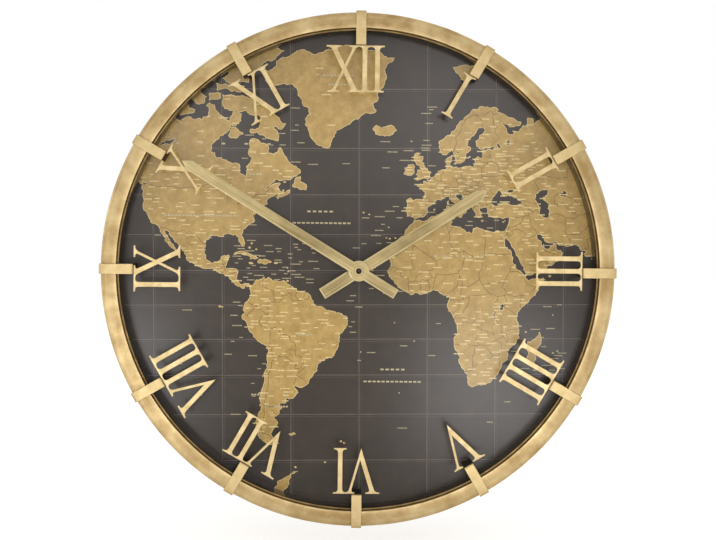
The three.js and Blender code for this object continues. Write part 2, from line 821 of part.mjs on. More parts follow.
function addMotor() {
  const ring = magnetRadius + statorGap + statorRing;
  const back = caseBack;
  const front = back + statorThickness;
  const coreMiddle = caseBack + coilFlangeRadius;
  const coreFront = coreMiddle + coreThickness / 2;
  const coreLeft = coilX - coreWidth / 2;
  const coreRight = coilX + coreWidth / 2;
  const high = coilY + coilLength / 2 + fit;
  const low = coilY - coilLength / 2 - fit;
  const lane = motionAxis.x + arborRadius + arborClearance;
  const armHalf = statorArm / 2;
  const stator = cut(
    join(
      rod(ring, back, front).translate(rotorAxis.x, rotorAxis.y, 0),
      block(rotorAxis.x - armHalf, rotorAxis.x + armHalf, rotorAxis.y, high + statorArm, back, front),
      block(rotorAxis.x - armHalf, coreRight, high, high + statorArm, back, front),
      block(rotorAxis.x, lane + statorArm, rotorAxis.y - armHalf, rotorAxis.y + armHalf, back, front),
      block(lane, lane + statorArm, low - statorArm, rotorAxis.y, back, front),
      block(lane, coreRight, low - statorArm, low, back, front),
      block(coreLeft, coreRight, high, high + statorArm, back, coreFront),
      block(coreLeft, coreRight, low - statorArm, low, back, coreFront),
      block(coreLeft, coreRight, low - armHalf, high + armHalf, coreFront - coreThickness, coreFront),
    ),
    rod(magnetRadius + statorGap, back - overshoot, front + overshoot)
      .translate(rotorAxis.x, rotorAxis.y, 0),
  );
  add('stator', stator, steel);

  const coreReach = Math.hypot(coreWidth, coreThickness) / 2 + fit;
  const end = coilLength / 2;
  const coil = turned([
    [coreReach, -end],
    [coilFlangeRadius, -end],
    [coilFlangeRadius, coilFlange - end],
    [coilRadius, coilFlange - end],
    [coilRadius, end - coilFlange],
    [coilFlangeRadius, end - coilFlange],
    [coilFlangeRadius, end],
    [coreReach, end],
    [coreReach, -end],
  ]).rotateX(Math.PI / 2).translate(coilX, coilY, coreMiddle);
  add('coil', coil, copper);
}

function addCircuit() {
  const left = fit - inside;
  const high = inside - fit;
  const front = caseBack + boardThickness;
  const crystal = rod(crystalRadius, 0, crystalLength, tinyFacets).rotateX(Math.PI / 2);
  add('circuit_board', block(left, left + boardWidth, high - boardLength, high, caseBack, front),
    circuitGreen);
  add('quartz_crystal', crystal.translate(left + boardWidth / 2, high - fit, front + fit + crystalRadius),
    steel);
}

// Threaded bush, gasket, washer and nut

function addDialFixing() {
  const flangeRadius = threadRadius + bushFlange;
  const flangeFront = dialBack - fit;
  add('threaded_bush', turned([
    [threadBore, caseInside],
    [threadRadius, caseInside],
    [threadRadius, caseFront + fit],
    [flangeRadius, caseFront + fit],
    [flangeRadius, flangeFront],
    [threadRadius, flangeFront],
    [threadRadius, threadFront],
    [threadBore, threadFront],
    [threadBore, caseInside],
  ]), brass);
  add('rubber_gasket', tube(flangeRadius + fit, flangeRadius + gasketWidth, caseFront + fit, flangeFront),
    blackRubber);
  const washerBack = dialFront + fit;
  const nutBack = washerBack + washerThickness + fit;
  const bore = threadRadius + fit;
  add('dial_washer', tube(bore, bore + washerWidth, washerBack, washerBack + washerThickness), steel);
  const corner = nutAcrossFlats / Math.sqrt(3);
  const hexagon = Array.from({ length: 6 }, (_, side) => point(corner, side * 60));
  const nut = plate(new THREE.Shape(hexagon), nutBack, nutBack + nutThickness);
  add('fixing_nut', cut(nut, rod(bore, nutBack - overshoot, nutBack + nutThickness + overshoot)), brass);
}

// Hanger: a bent strip on the back of the dial with a keyhole for the wall screw

function addHanger() {
  const foot = dialBack - fit;
  const half = hangerHeight / 2;
  const section = [
    [half + hangerFoot, foot],
    [half, foot],
    [half, hangerBack + hangerSheet],
    [-half, hangerBack + hangerSheet],
    [-half, foot],
    [-half - hangerFoot, foot],
    [-half - hangerFoot, foot - hangerSheet],
    [-half - hangerSheet, foot - hangerSheet],
    [-half - hangerSheet, hangerBack],
    [half + hangerSheet, hangerBack],
    [half + hangerSheet, foot - hangerSheet],
    [half + hangerFoot, foot - hangerSheet],
  ].map(([along, depth]) => new THREE.Vector2(along, depth));
  const strip = plate(new THREE.Shape(section), -hangerWidth / 2, hangerWidth / 2)
    .rotateX(Math.PI / 2)
    .rotateZ(Math.PI / 2);
  const back = hangerBack - overshoot;
  const front = hangerBack + hangerSheet + overshoot;
  const keyhole = [
    rod(keyholeRadius, back, front).translate(0, -keyholeTravel / 2, 0),
    rod(keyholeSlot / 2, back, front).translate(0, keyholeTravel / 2, 0),
    block(-keyholeSlot / 2, keyholeSlot / 2, -keyholeTravel / 2, keyholeTravel / 2, back, front),
  ];
  add('hanger', cut(strip, ...keyhole).translate(0, hangerRadius, 0), steel);
}

// Clips: angle pieces that hold the edge of the dial to the rim's wall

function addClips() {
  const wall = rimRadius - rimSheet - fit;
  const foot = dialBack - fit;
  const section = [
    [wall, foot],
    [wall - clipLeg, foot],
    [wall - clipLeg, foot - clipSheet],
    [wall - clipSheet, foot - clipSheet],
    [wall - clipSheet, foot - clipLeg],
    [wall, foot - clipLeg],
  ].map(([radius, depth]) => new THREE.Vector2(radius, depth));
  for (let clip = 0; clip < clipCount; clip += 1) {
    const bracket = plate(new THREE.Shape(section), -clipWidth / 2, clipWidth / 2)
      .rotateX(Math.PI / 2)
      .rotateZ(Math.PI / 2);
    add(`dial_clip_${clip + 1}`, bracket, steel, groupAt(centreAxis, ((clip + 0.5) * 360) / clipCount));
  }
}

addCase();
addHours();
addHands();
addTrain();
addMovementCase();
addBattery();
addMotor();
addCircuit();
addDialFixing();
addHanger();
addClips();

clock.rotation.x = Math.PI / 2;

export default clock;
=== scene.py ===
"""Dresses the large wall clock: its finishes, fine forms, world-map dial, studio and camera."""

import json
import logging
import math
import random
from dataclasses import dataclass, field
from enum import Enum, IntEnum

import bmesh
import bpy
from mathutils import Matrix, Vector
from mathutils.geometry import tessellate_polygon

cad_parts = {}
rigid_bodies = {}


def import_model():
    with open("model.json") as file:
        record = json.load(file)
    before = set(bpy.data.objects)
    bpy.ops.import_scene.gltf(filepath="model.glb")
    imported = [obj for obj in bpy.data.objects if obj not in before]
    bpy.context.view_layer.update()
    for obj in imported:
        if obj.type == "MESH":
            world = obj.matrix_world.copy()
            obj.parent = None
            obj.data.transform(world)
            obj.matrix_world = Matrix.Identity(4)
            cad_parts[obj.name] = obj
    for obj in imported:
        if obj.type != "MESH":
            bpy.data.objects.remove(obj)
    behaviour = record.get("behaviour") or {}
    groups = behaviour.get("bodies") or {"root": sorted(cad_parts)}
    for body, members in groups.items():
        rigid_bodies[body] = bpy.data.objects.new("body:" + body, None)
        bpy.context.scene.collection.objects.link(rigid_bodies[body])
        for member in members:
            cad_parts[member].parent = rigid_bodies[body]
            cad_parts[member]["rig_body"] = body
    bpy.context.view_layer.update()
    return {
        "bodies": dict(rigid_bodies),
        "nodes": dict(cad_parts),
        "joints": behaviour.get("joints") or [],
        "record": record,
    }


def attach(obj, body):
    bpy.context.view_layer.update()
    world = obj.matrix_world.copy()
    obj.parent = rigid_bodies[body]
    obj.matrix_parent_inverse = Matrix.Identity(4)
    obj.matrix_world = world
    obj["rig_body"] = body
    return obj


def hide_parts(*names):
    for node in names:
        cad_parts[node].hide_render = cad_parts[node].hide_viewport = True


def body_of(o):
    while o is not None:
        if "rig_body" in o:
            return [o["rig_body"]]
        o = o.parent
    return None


MM = 0.001
SEED = 11
log = logging.getLogger("wall_clock")

Point = tuple[float, float]
Place = tuple[float, float, float]
Colour = tuple[float, float, float, float]
Tree = bpy.types.NodeTree
Node = bpy.types.Node
Socket = bpy.types.NodeSocket
Piece = bpy.types.Object

# How copied CAD forms are cleaned, and how edges are rounded
SAME_PLACE_MM = 0.002
FLAT_DEGREES = 1.0
SHARP_DEGREES = 32.0
ROUNDING_STEPS = 2


# Colour and node helpers


def linear(code: str) -> Colour:
    """Turns an sRGB hex value to a linear colour.

    Args:
        code: The colour, as #rrggbb.

    Returns:
        Red, green, blue and an alpha of 1.
    """
    parts = [int(code[at : at + 2], 16) / 255 for at in (1, 3, 5)]
    values = [c / 12.92 if c <= 0.04045 else ((c + 0.055) / 1.055) ** 2.4 for c in parts]
    return (*values, 1.0)


def add_node(tree: Tree, kind: str, inputs: dict | None = None, **settings) -> Node:
    """Adds one node to a tree, with its settings, values and links.

    Args:
        tree: The node tree.
        kind: Blender's name for the node, after ShaderNode.
        inputs: A value or another node's socket for each input, by name or place.
        **settings: Properties of the node.

    Returns:
        The new node.
    """
    node = tree.nodes.new(f"ShaderNode{kind}")
    for name, value in settings.items():
        setattr(node, name, value)
    for key, value in (inputs or {}).items():
        if isinstance(value, Socket):
            tree.links.new(value, node.inputs[key])
        else:
            node.inputs[key].default_value = value
    return node


def from_axis(tree: Tree, where: Socket) -> tuple[Node, Node]:
    """Measures how far a point lies from the clock's axis.

    Args:
        tree: The material's node tree.
        where: Object coordinates in metres.

    Returns:
        The node of the point without its depth, and the node of its distance.
    """
    part = add_node(tree, "SeparateXYZ", {0: where})
    flat = add_node(tree, "CombineXYZ", {0: part.outputs[0], 2: part.outputs[2]})
    return flat, add_node(tree, "VectorMath", {0: flat.outputs[0]}, operation="LENGTH")


class Lay(Enum):
    """Which way the fine lines of a worked surface run."""

    ROUND = "round the clock's axis"
    ALONG = "along the piece"
    NONE = "no lines"


# Finishes


@dataclass(frozen=True)
class Finish:
    """What all finishes share: two colours, the gloss and a relief, and the record's slot."""

    name: str
    slot: str
    main: str
    second: str
    roughness: float = 0.4
    metallic: float = 0.0
    ior: float = 1.5
    relief_mm: float = 0.03
    relief_strength: float = 0.3

    def material(self) -> bpy.types.Material:
        """Returns the finish's material, made once."""
        found = bpy.data.materials.get(self.name)
        if found:
            return found
        made = bpy.data.materials.new(self.name)
        made.use_nodes = True
        tree = made.node_tree
        tree.nodes.clear()
        where = add_node(tree, "TexCoord").outputs["Object"]
        surface = self.surface(tree, where)
        add_node(tree, "OutputMaterial", {"Surface": surface.outputs["BSDF"]})
        return made

    def surface(self, tree: Tree, where: Socket) -> Node:
        """Returns the shader node. Each finish has its own."""
        raise NotImplementedError

    def coat(self, tree: Tree, share: Socket, height: Socket, gloss: Socket | None = None) -> Node:
        """Mixes the two colours, lays the relief over them and makes the shader.

        Args:
            tree: The material's node tree.
            share: How much of the second colour shows.
            height: The relief's height, from 0 to 1.
            gloss: The roughness, where it varies.

        Returns:
            The shader node.
        """
        ends = {6: linear(self.main), 7: linear(self.second)}
        colour = add_node(tree, "Mix", {0: share, **ends}, data_type="RGBA")
        depth = {"Strength": self.relief_strength, "Distance": self.relief_mm * MM}
        relief = add_node(tree, "Bump", {**depth, "Height": height})
        inputs = {
            "Base Color": colour.outputs[2],
            "Metallic": self.metallic,
            "Roughness": self.roughness if gloss is None else gloss,
            "Normal": relief.outputs[0],
        }
        if not self.metallic:
            inputs["IOR"] = self.ior
        return add_node(tree, "BsdfPrincipled", inputs)


@dataclass(frozen=True)
class WorkedMetal(Finish):
    """Metal sheet or bar, brushed and then lacquered or wiped with patina.

    The clouds are the patina's soft patches, the lines are the abrasive's scratches, and both
    change the colour and the gloss a little, so that a highlight breaks up as on the real metal.
    """

    metallic: float = 0.85
    relief_mm: float = 0.02
    relief_strength: float = 0.35
    cloud_mm: float = 30.0
    cloud_share: float = 0.6
    cloud_edges: Point = (0.34, 0.66)
    line_mm: float = 0.5
    line_share: float = 0.25
    line_stretch: float = 30.0
    ring_changes: float = 9.0
    lay: Lay = Lay.NONE
    gloss_more: float = 0.05
    gloss_less: float = 0.12

    def lines(self, tree: Tree, where: Socket) -> Socket:
        """Makes the noise that is drawn out along the lines.

        Args:
            tree: The material's node tree.
            where: Object coordinates in metres.

        Returns:
            A factor from 0 to 1.
        """
        across = 1 / (self.line_mm * MM)
        if self.lay is Lay.ROUND:
            flat, radius = from_axis(tree, where)
            turned = add_node(tree, "VectorMath", {0: flat.outputs[0]}, operation="NORMALIZE")
            pace = {0: turned.outputs[0], "Scale": self.ring_changes}
            slow = add_node(tree, "VectorMath", pace, operation="SCALE")
            reach = {0: radius.outputs["Value"], 1: across}
            fast = add_node(tree, "Math", reach, operation="MULTIPLY")
            lift = add_node(tree, "CombineXYZ", {1: fast.outputs[0]})
            both = {0: slow.outputs[0], 1: lift.outputs[0]}
            vector = add_node(tree, "VectorMath", both, operation="ADD")
        else:
            along = across / self.line_stretch if self.lay is Lay.ALONG else across
            scale = {0: where, 1: (across, across, along)}
            vector = add_node(tree, "VectorMath", scale, operation="MULTIPLY")
        noise = {"Vector": vector.outputs[0], "Scale": 1.0, "Detail": 3.0}
        return add_node(tree, "TexNoise", noise).outputs["Fac"]

    def share(self, tree: Tree, where: Socket, lines: Socket) -> Socket:
        """Returns how much of the second colour shows, from clouds and lines."""
        noise = {"Vector": where, "Scale": 1 / (self.cloud_mm * MM), "Detail": 5.0, "Roughness": 0.6}
        cloud = add_node(tree, "TexNoise", noise)
        low, high = self.cloud_edges
        edges = {"From Min": low, "From Max": high, "To Max": self.cloud_share}
        spread = add_node(tree, "MapRange", {"Value": cloud.outputs["Fac"], **edges})
        parts = {0: lines, 1: self.line_share, 2: spread.outputs[0]}
        return add_node(tree, "Math", parts, operation="MULTIPLY_ADD", use_clamp=True).outputs[0]

    def surface(self, tree: Tree, where: Socket) -> Node:
        """Returns the metal shader, duller where more of the second colour shows."""
        lines = self.lines(tree, where)
        share = self.share(tree, where, lines)
        ends = {"To Min": self.roughness - self.gloss_more, "To Max": self.roughness + self.gloss_less}
        gloss = add_node(tree, "MapRange", {"Value": share, **ends})
        return self.coat(tree, share, lines, gloss.outputs[0])


@dataclass(frozen=True)
class RadialPaintedLightMetal(WorkedMetal):
    """Worked metal with painted light and shade in rings about the clock's axis: more or less of the second
    colour with the distance from it.
    """

    # Distance in millimetres and how much more of the second colour shows there, as painted light and shade
    left: tuple[Point, ...] = ((0.0, 0.2), (200.0, -0.2))

    def share(self, tree: Tree, where: Socket, lines: Socket) -> Socket:
        """Adds the painted light and shade, set by the distance from the axis, to the clouds and lines."""
        base = super().share(tree, where, lines)
        radius = from_axis(tree, where)[1].outputs["Value"]
        low, high = self.left[0][0], self.left[-1][0]
        along = add_node(tree, "MapRange", {"Value": radius, "From Min": low * MM, "From Max": high * MM})
        ramp = add_node(tree, "ValToRGB", {"Fac": along.outputs[0]})
        stops = ramp.color_ramp.elements
        while len(stops) < len(self.left):
            stops.new(0.5)
        # A ramp holds nothing below 0, so all is raised by a half and lowered again afterwards
        for stop, (distance, more) in zip(stops, self.left):
            stop.position = (distance - low) / (high - low)
            stop.color = (0.5 + more,) * 3 + (1.0,)
        raised = add_node(tree, "Math", {0: base, 1: ramp.outputs[0]}, operation="ADD").outputs[0]
        return add_node(tree, "Math", {0: raised, 1: 0.5}, operation="SUBTRACT", use_clamp=True).outputs[0]


@dataclass(frozen=True)
class PrintedBoard(Finish):
    """Offset print on a board, under a satin varnish.

    The ink lies unevenly: soft patches of a second colour, and a fine tooth of the paper that
    breaks the colour into specks.
    """

    roughness: float = 0.25
    ior: float = 1.42
    relief_strength: float = 0.2
    patch_mm: float = 24.0
    patch_edges: Point = (0.3, 0.7)
    mottle: float = 0.65
    tooth_mm: float = 0.9
    tooth_share: float = 0.3

    def surface(self, tree: Tree, where: Socket) -> Node:
        """Mixes ink, patches and tooth and returns the shader."""
        patches = {"Scale": 1 / (self.patch_mm * MM), "Detail": 6.0, "Roughness": self.mottle}
        patch = add_node(tree, "TexNoise", {"Vector": where, **patches})
        specks = {"Scale": 1 / (self.tooth_mm * MM), "Detail": 2.0}
        tooth = add_node(tree, "TexNoise", {"Vector": where, **specks}).outputs["Fac"]
        low, high = self.patch_edges
        edges = {"Value": patch.outputs["Fac"], "From Min": low, "From Max": high}
        spread = add_node(tree, "MapRange", edges)
        parts = {0: tooth, 1: self.tooth_share, 2: spread.outputs[0]}
        share = add_node(tree, "Math", parts, operation="MULTIPLY_ADD", use_clamp=True)
        return self.coat(tree, share.outputs[0], tooth)


@dataclass(frozen=True)
class Moulded(Finish):
    """A moulded or coated surface: one colour that varies slightly, with a fine grain in relief."""

    roughness: float = 0.55
    grain_mm: float = 0.4
    patch_mm: float = 15.0
    patch_edges: Point = (0.35, 0.7)

    def surface(self, tree: Tree, where: Socket) -> Node:
        """Mixes the colour with its worn tone, lays the grain over it and returns the shader."""
        patches = {"Vector": where, "Scale": 1 / (self.patch_mm * MM), "Detail": 4.0}
        patch = add_node(tree, "TexNoise", patches)
        grain = add_node(tree, "TexVoronoi", {"Vector": where, "Scale": 1 / (self.grain_mm * MM)})
        low, high = self.patch_edges
        edges = {"Value": patch.outputs["Fac"], "From Min": low, "From Max": high}
        share = add_node(tree, "MapRange", edges)
        return self.coat(tree, share.outputs[0], grain.outputs["Distance"])


@dataclass(frozen=True)
class Banded(Finish):
    """A surface of two colours in bands along one axis, such as windings or a printed sleeve."""

    metallic: float = 0.6
    relief_mm: float = 0.1
    relief_strength: float = 0.4
    pitch_mm: float = 0.6
    axis: str = "Z"
    # How far the wave texture repeats at a scale of 1
    wave_length: float = 0.314

    def surface(self, tree: Tree, where: Socket) -> Node:
        """Lays the bands in colour and relief and returns the shader."""
        wave = {"Scale": self.wave_length / (self.pitch_mm * MM), "Distortion": 0.4, "Detail": 1.0}
        bands = add_node(tree, "TexWave", {"Vector": where, **wave}, bands_direction=self.axis)
        return self.coat(tree, bands.outputs["Fac"], bands.outputs["Fac"])


# Rolled brass sheet, brushed round the ring, lacquered over a wiped brown patina: a warm mid gold with soft
# darker clouds and faint rings. Painted light across the face: a painted highlight on the arris and on the
# rolled edge, and painted lighter and darker bands over the crowned face.
RIM_BRASS = RadialPaintedLightMetal(
    "rim_rolled_brass_patina_painted_highlights", "rim_brass", "#cab385", "#9a7f52", metallic=0.8,
    roughness=0.42, cloud_mm=26.0, cloud_share=0.7, line_mm=0.8, line_share=0.4, lay=Lay.ROUND,
    relief_mm=0.04,
    # Painted highlight on the arris at 282 and the rolled edge at 300, painted bands of light and shade
    # between
    left=(
        (282.0, -0.35), (283.2, -0.1), (284.6, 0.05), (288.0, 0.14), (291.5, 0.04), (294.0, -0.1),
        (297.0, 0.1), (298.4, -0.05), (300.0, -0.3),
    ),
)
# The liner's front edge, where the dark coat is worn to dull brown brass
LINER_BRASS = WorkedMetal(
    "liner_edge_brass_worn", "rim_brass", "#93794c", "#5f4b2c", metallic=0.7, roughness=0.45,
    cloud_mm=18.0, cloud_share=0.7, line_mm=0.6, line_share=0.3, lay=Lay.ROUND,
)
# Painted shade: almost black brown on the rim's inside wall, the straps' legs and the hole of the minute
# hand's bush, where shade falls in these recesses
INNER_PAINTED_SHADE = WorkedMetal(
    "inner_brass_painted_shade", "rim_brass", "#3a2e1e", "#1f1912", metallic=0.6, roughness=0.5,
    cloud_mm=18.0, cloud_share=0.8, line_mm=0.9, line_share=0.3, lay=Lay.ROUND,
)
# The liner's bore, painted black brown and glossy, so that it mirrors the dial at a low angle
BORE_PAINT = WorkedMetal(
    "liner_bore_gloss_paint", "rim_brass", "#43351f", "#2a2115", metallic=0.4, roughness=0.14,
    cloud_mm=18.0, cloud_share=0.8, line_mm=0.9, line_share=0.2, lay=Lay.ROUND,
)
# Flat brass bar, satin brushed along its length and clear lacquered: pale champagne
BAR_BRASS = WorkedMetal(
    "strap_bar_brass_satin", "pale_brass", "#c4ae81", "#a8905f", metallic=0.8, roughness=0.45,
    cloud_mm=14.0, cloud_share=0.55, line_mm=0.5, line_share=0.35, lay=Lay.ALONG,
)
# Numerals cut from plate and tumbled: the same champagne without lines
PLATE_BRASS = WorkedMetal(
    "numeral_plate_brass_tumbled", "pale_brass", "#cbb68a", "#aa9262", metallic=0.8,
    roughness=0.44, cloud_mm=9.0, cloud_share=0.6, line_mm=0.6, line_share=0.25,
)
# Hands: pressed aluminium, toned brown gold and brushed lengthwise, with painted reflections along the
# length: painted darkest about 60 mm out, lighter towards the eye and the point
HAND_METAL = RadialPaintedLightMetal(
    "hand_aluminium_toned_painted_sheen", "hand_metal", "#b3a073", "#4f3e1f", metallic=0.8, roughness=0.38,
    cloud_mm=22.0, cloud_share=0.2, line_mm=1.9, line_share=1.0, lay=Lay.ALONG,
    # Painted reflections along the hand, set by the distance from the axis
    left=(
        (0.0, -0.35), (15.0, -0.2), (45.0, -0.05), (60.0, 0.05), (110.0, -0.15), (170.0, -0.25),
        (240.0, -0.35),
    ),
)
# The hands' bevels, cut through the toning to paler metal, with painted reflections along the hand: darkest
# about 110 mm out, lighter near the axis and towards the point
HAND_BEVEL = RadialPaintedLightMetal(
    "hand_aluminium_bevel_painted_sheen", "hand_metal", "#cbb98c", "#86734a", metallic=0.8, roughness=0.36,
    cloud_mm=12.0, cloud_share=0.3, line_mm=0.8, line_share=0.3,
    left=((0.0, -0.3), (10.0, -0.2), (60.0, 0.1), (110.0, 0.15), (170.0, -0.05), (240.0, -0.15)),
)
# Free-cutting brass with fine rings from the lathe
THREAD_BRASS = WorkedMetal(
    "bush_turned_brass", "thread_brass", "#d9bd84", "#a88a50", roughness=0.32, cloud_mm=5.0,
    cloud_share=0.5, line_mm=0.3, line_share=0.4, lay=Lay.ROUND,
)
# Zinc-plated mild steel: grey with faint bluish spangles
PLATED_STEEL = WorkedMetal(
    "steel_zinc_plated", "steel", "#c9ccce", "#9a9da1", roughness=0.36, cloud_mm=6.0,
    cloud_share=0.7, line_mm=0.4, line_share=0.2,
)
# World map, offset printed on board. The sea: flat dark brown grey
SEA_PRINT = PrintedBoard("map_sea_print", "map_board", "#35291e", "#2b2118")
# The map's land: mottled old gold
LAND_PRINT = PrintedBoard(
    "map_land_print", "map_board", "#c2a260", "#997b40", patch_mm=13.0, mottle=0.8,
    tooth_share=0.45,
)
# The map's borders: thin brown ink over the gold
BORDER_PRINT = PrintedBoard("map_border_print", "map_board", "#6b5122", "#57411a", patch_mm=9.0)
# The map's coasts: cream ink
COAST_PRINT = PrintedBoard("map_coast_print", "map_board", "#e2d09c", "#b99a60", patch_mm=7.0)
# The map's small print on land: a paler cream ink
MARK_PRINT = PrintedBoard("map_mark_print", "map_board", "#ecdca6", "#c9b27a", patch_mm=5.0)
# The map's large print, and small print at sea: a duller cream ink
LARGE_MARK_PRINT = PrintedBoard(
    "map_large_mark_print", "map_board", "#bfb18c", "#a39574", patch_mm=5.0
)
# The map's grid: a thin grey tint of the sea
GRID_PRINT = PrintedBoard("map_grid_print", "map_board", "#6d6056", "#5a4f47", patch_mm=12.0)
# Bare fibreboard at the panel's edge and back: fine brown felted fibres
FIBREBOARD = PrintedBoard(
    "dial_fibreboard", "map_board", "#8a6a48", "#6f5236", patch_mm=6.0, tooth_mm=0.6,
    tooth_share=0.5, roughness=0.85,
)
# Black moulded plastic with a spark-eroded grain
CASE_PLASTIC = Moulded("case_abs_spark_eroded", "case_plastic", "#1d1d1f", "#2b2b2d")
# Undyed acetal: smooth, milky and slightly glossy
GEAR_PLASTIC = Moulded(
    "gear_acetal_natural", "gear_plastic", "#e9e7e0", "#d9d5c8", roughness=0.35, relief_mm=0.01,
    grain_mm=0.8,
)
# Black nitrile rubber with a dry matt skin
GASKET_RUBBER = Moulded(
    "gasket_nitrile_rubber", "gasket_rubber", "#262626", "#333231", roughness=0.85, ior=1.52,
    grain_mm=0.6,
)
# Turns of fine enamelled copper wire
COIL_WIRE = Banded("coil_enamelled_copper", "coil_wire", "#6d3a1c", "#b06a3a", pitch_mm=0.5)
# Green solder mask over glass-fibre board
BOARD_GREEN = Moulded(
    "circuit_board_solder_mask", "board_green", "#2f6b45", "#245538", roughness=0.4, grain_mm=0.9
)
# The battery's printed film sleeve: two plain fields of colour
BATTERY_SLEEVE = Banded(
    "battery_printed_sleeve", "battery_sleeve", "#8c949c", "#3c4a5c", pitch_mm=34.0, axis="X",
    roughness=0.35, metallic=0.3,
)


# Mesh helpers


def ring_point(radius_mm: float, clock_degrees: float, depth_mm: float) -> Vector:
    """Returns a point in metres from its radius, clock angle and depth from the wall."""
    angle = math.radians(clock_degrees)
    return Vector((radius_mm * math.sin(angle), -depth_mm, radius_mm * math.cos(angle))) * MM


def clockwise(degrees: float) -> Matrix:
    """Returns the turn about the clock's axis by so many degrees, clockwise from the front."""
    return Matrix.Rotation(math.radians(degrees), 4, "Y")


def placed(name: str, data: bpy.types.ID) -> Piece:
    """Returns a new object of a mesh, lamp or camera, linked to the scene."""
    made = bpy.data.objects.new(name, data)
    bpy.context.scene.collection.objects.link(made)
    return made


def finished(name: str, mesh: bpy.types.Mesh, finish: Finish) -> Piece:
    """Returns a new object of a mesh in one finish."""
    made = placed(name, mesh)
    mesh.materials.append(finish.material())
    return made


def mesh_piece(name: str, vertices: list, faces: list, finish: Finish) -> Piece:
    """Makes an object from vertices in metres and faces, in one finish.

    Args:
        name: The piece's name.
        vertices: Corner positions.
        faces: Corner numbers of each face.
        finish: The finish of all its faces.

    Returns:
        The new object, linked to the scene.
    """
    mesh = bpy.data.meshes.new(name)
    mesh.from_pydata([tuple(v) for v in vertices], [], faces)
    mesh.validate()
    return finished(name, mesh, finish)


def smooth(piece: Piece, sharp_degrees: float = 30.0) -> None:
    """Shades a piece smooth, apart from edges sharper than the angle."""
    for face in piece.data.polygons:
        face.use_smooth = True
    piece.data.set_sharp_from_angle(angle=math.radians(sharp_degrees))


def soften(piece: Piece, width_mm: float) -> None:
    """Rounds a piece's sharp edges to a width by a bevel modifier."""
    bevel = piece.modifiers.new("softened_edges", "BEVEL")
    bevel.width = width_mm * MM
    bevel.segments = ROUNDING_STEPS
    bevel.limit_method = "ANGLE"
    bevel.angle_limit = math.radians(SHARP_DEGREES)
    bevel.harden_normals = True
    bevel.use_clamp_overlap = True


def face_outward(piece: Piece) -> None:
    """Makes a closed piece's faces all look outward."""
    work = bmesh.new()
    work.from_mesh(piece.data)
    bmesh.ops.recalc_face_normals(work, faces=work.faces)
    work.to_mesh(piece.data)
    work.free()


def lathe(name: str, section: list[Point], finish: Finish, turns: int = 64) -> Piece:
    """Turns a closed half section about the clock's axis.

    Args:
        name: The piece's name.
        section: Radius and depth of each corner in millimetres, in order.
        finish: The finish.
        turns: Steps round the axis.

    Returns:
        The new object.
    """
    corners = len(section)
    vertices = [
        ring_point(radius, 360 * turn / turns, depth)
        for turn in range(turns)
        for radius, depth in section
    ]
    faces = [
        (
            turn * corners + at,
            turn * corners + (at + 1) % corners,
            (turn + 1) % turns * corners + (at + 1) % corners,
            (turn + 1) % turns * corners + at,
        )
        for turn in range(turns)
        for at in range(corners)
    ]
    made = mesh_piece(name, vertices, faces, finish)
    face_outward(made)
    smooth(made)
    return made


def round_corner(centre: Point, radius: float, start: float, end: float, steps: int) -> list[Point]:
    """Returns an arc of a section, from one angle to another in degrees."""
    angles = [math.radians(start + (end - start) * step / steps) for step in range(steps + 1)]
    return [(centre[0] + radius * math.cos(a), centre[1] + radius * math.sin(a)) for a in angles]


def softened_node(frame: dict, node: str, finish: Finish, width_mm: float) -> None:
    """Copies a CAD node's form with whole flat faces and rounded edges, and lets it stand for it.

    Args:
        node: The CAD node's name.
        finish: The finish.
        width_mm: How wide the rounding is.
    """
    source = frame["nodes"][node]
    name = f"{node}_form"
    mesh = bpy.data.meshes.new(name)
    work = bmesh.new()
    work.from_mesh(source.data)
    work.transform(source.matrix_world)
    bmesh.ops.remove_doubles(work, verts=work.verts, dist=SAME_PLACE_MM * MM)
    bmesh.ops.dissolve_limit(
        work, angle_limit=math.radians(FLAT_DEGREES), verts=work.verts, edges=work.edges
    )
    work.to_mesh(mesh)
    work.free()
    made = finished(name, mesh, finish)
    smooth(made, sharp_degrees=35.0)
    soften(made, width_mm)
    settle(made, body_of(source)[0], node)


def darken(piece: Piece, finish: Finish, within_mm: float, below_mm: float) -> None:
    """Gives a second finish to the faces near the axis and behind a depth.

    Args:
        piece: The piece.
        finish: The second finish.
        within_mm: The largest radius of a face's middle.
        below_mm: The largest depth of a face's middle.
    """
    piece.data.materials.append(finish.material())
    for face in piece.data.polygons:
        middle = face.center / MM
        if math.hypot(middle.x, middle.z) < within_mm and -middle.y < below_mm:
            face.material_index = 1


def settle(piece: Piece, body: str, *nodes: str) -> None:
    """Lets a piece ride on a body and stand for CAD nodes, and reports it.

    Args:
        piece: The piece.
        body: The CAD body it moves with.
        *nodes: The CAD nodes it stands for.
    """
    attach(piece, body)
    if nodes:
        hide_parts(*nodes)
    log.info("%s: %d faces, rides on %s", piece.name, len(piece.data.polygons), body)


# Rim and liner


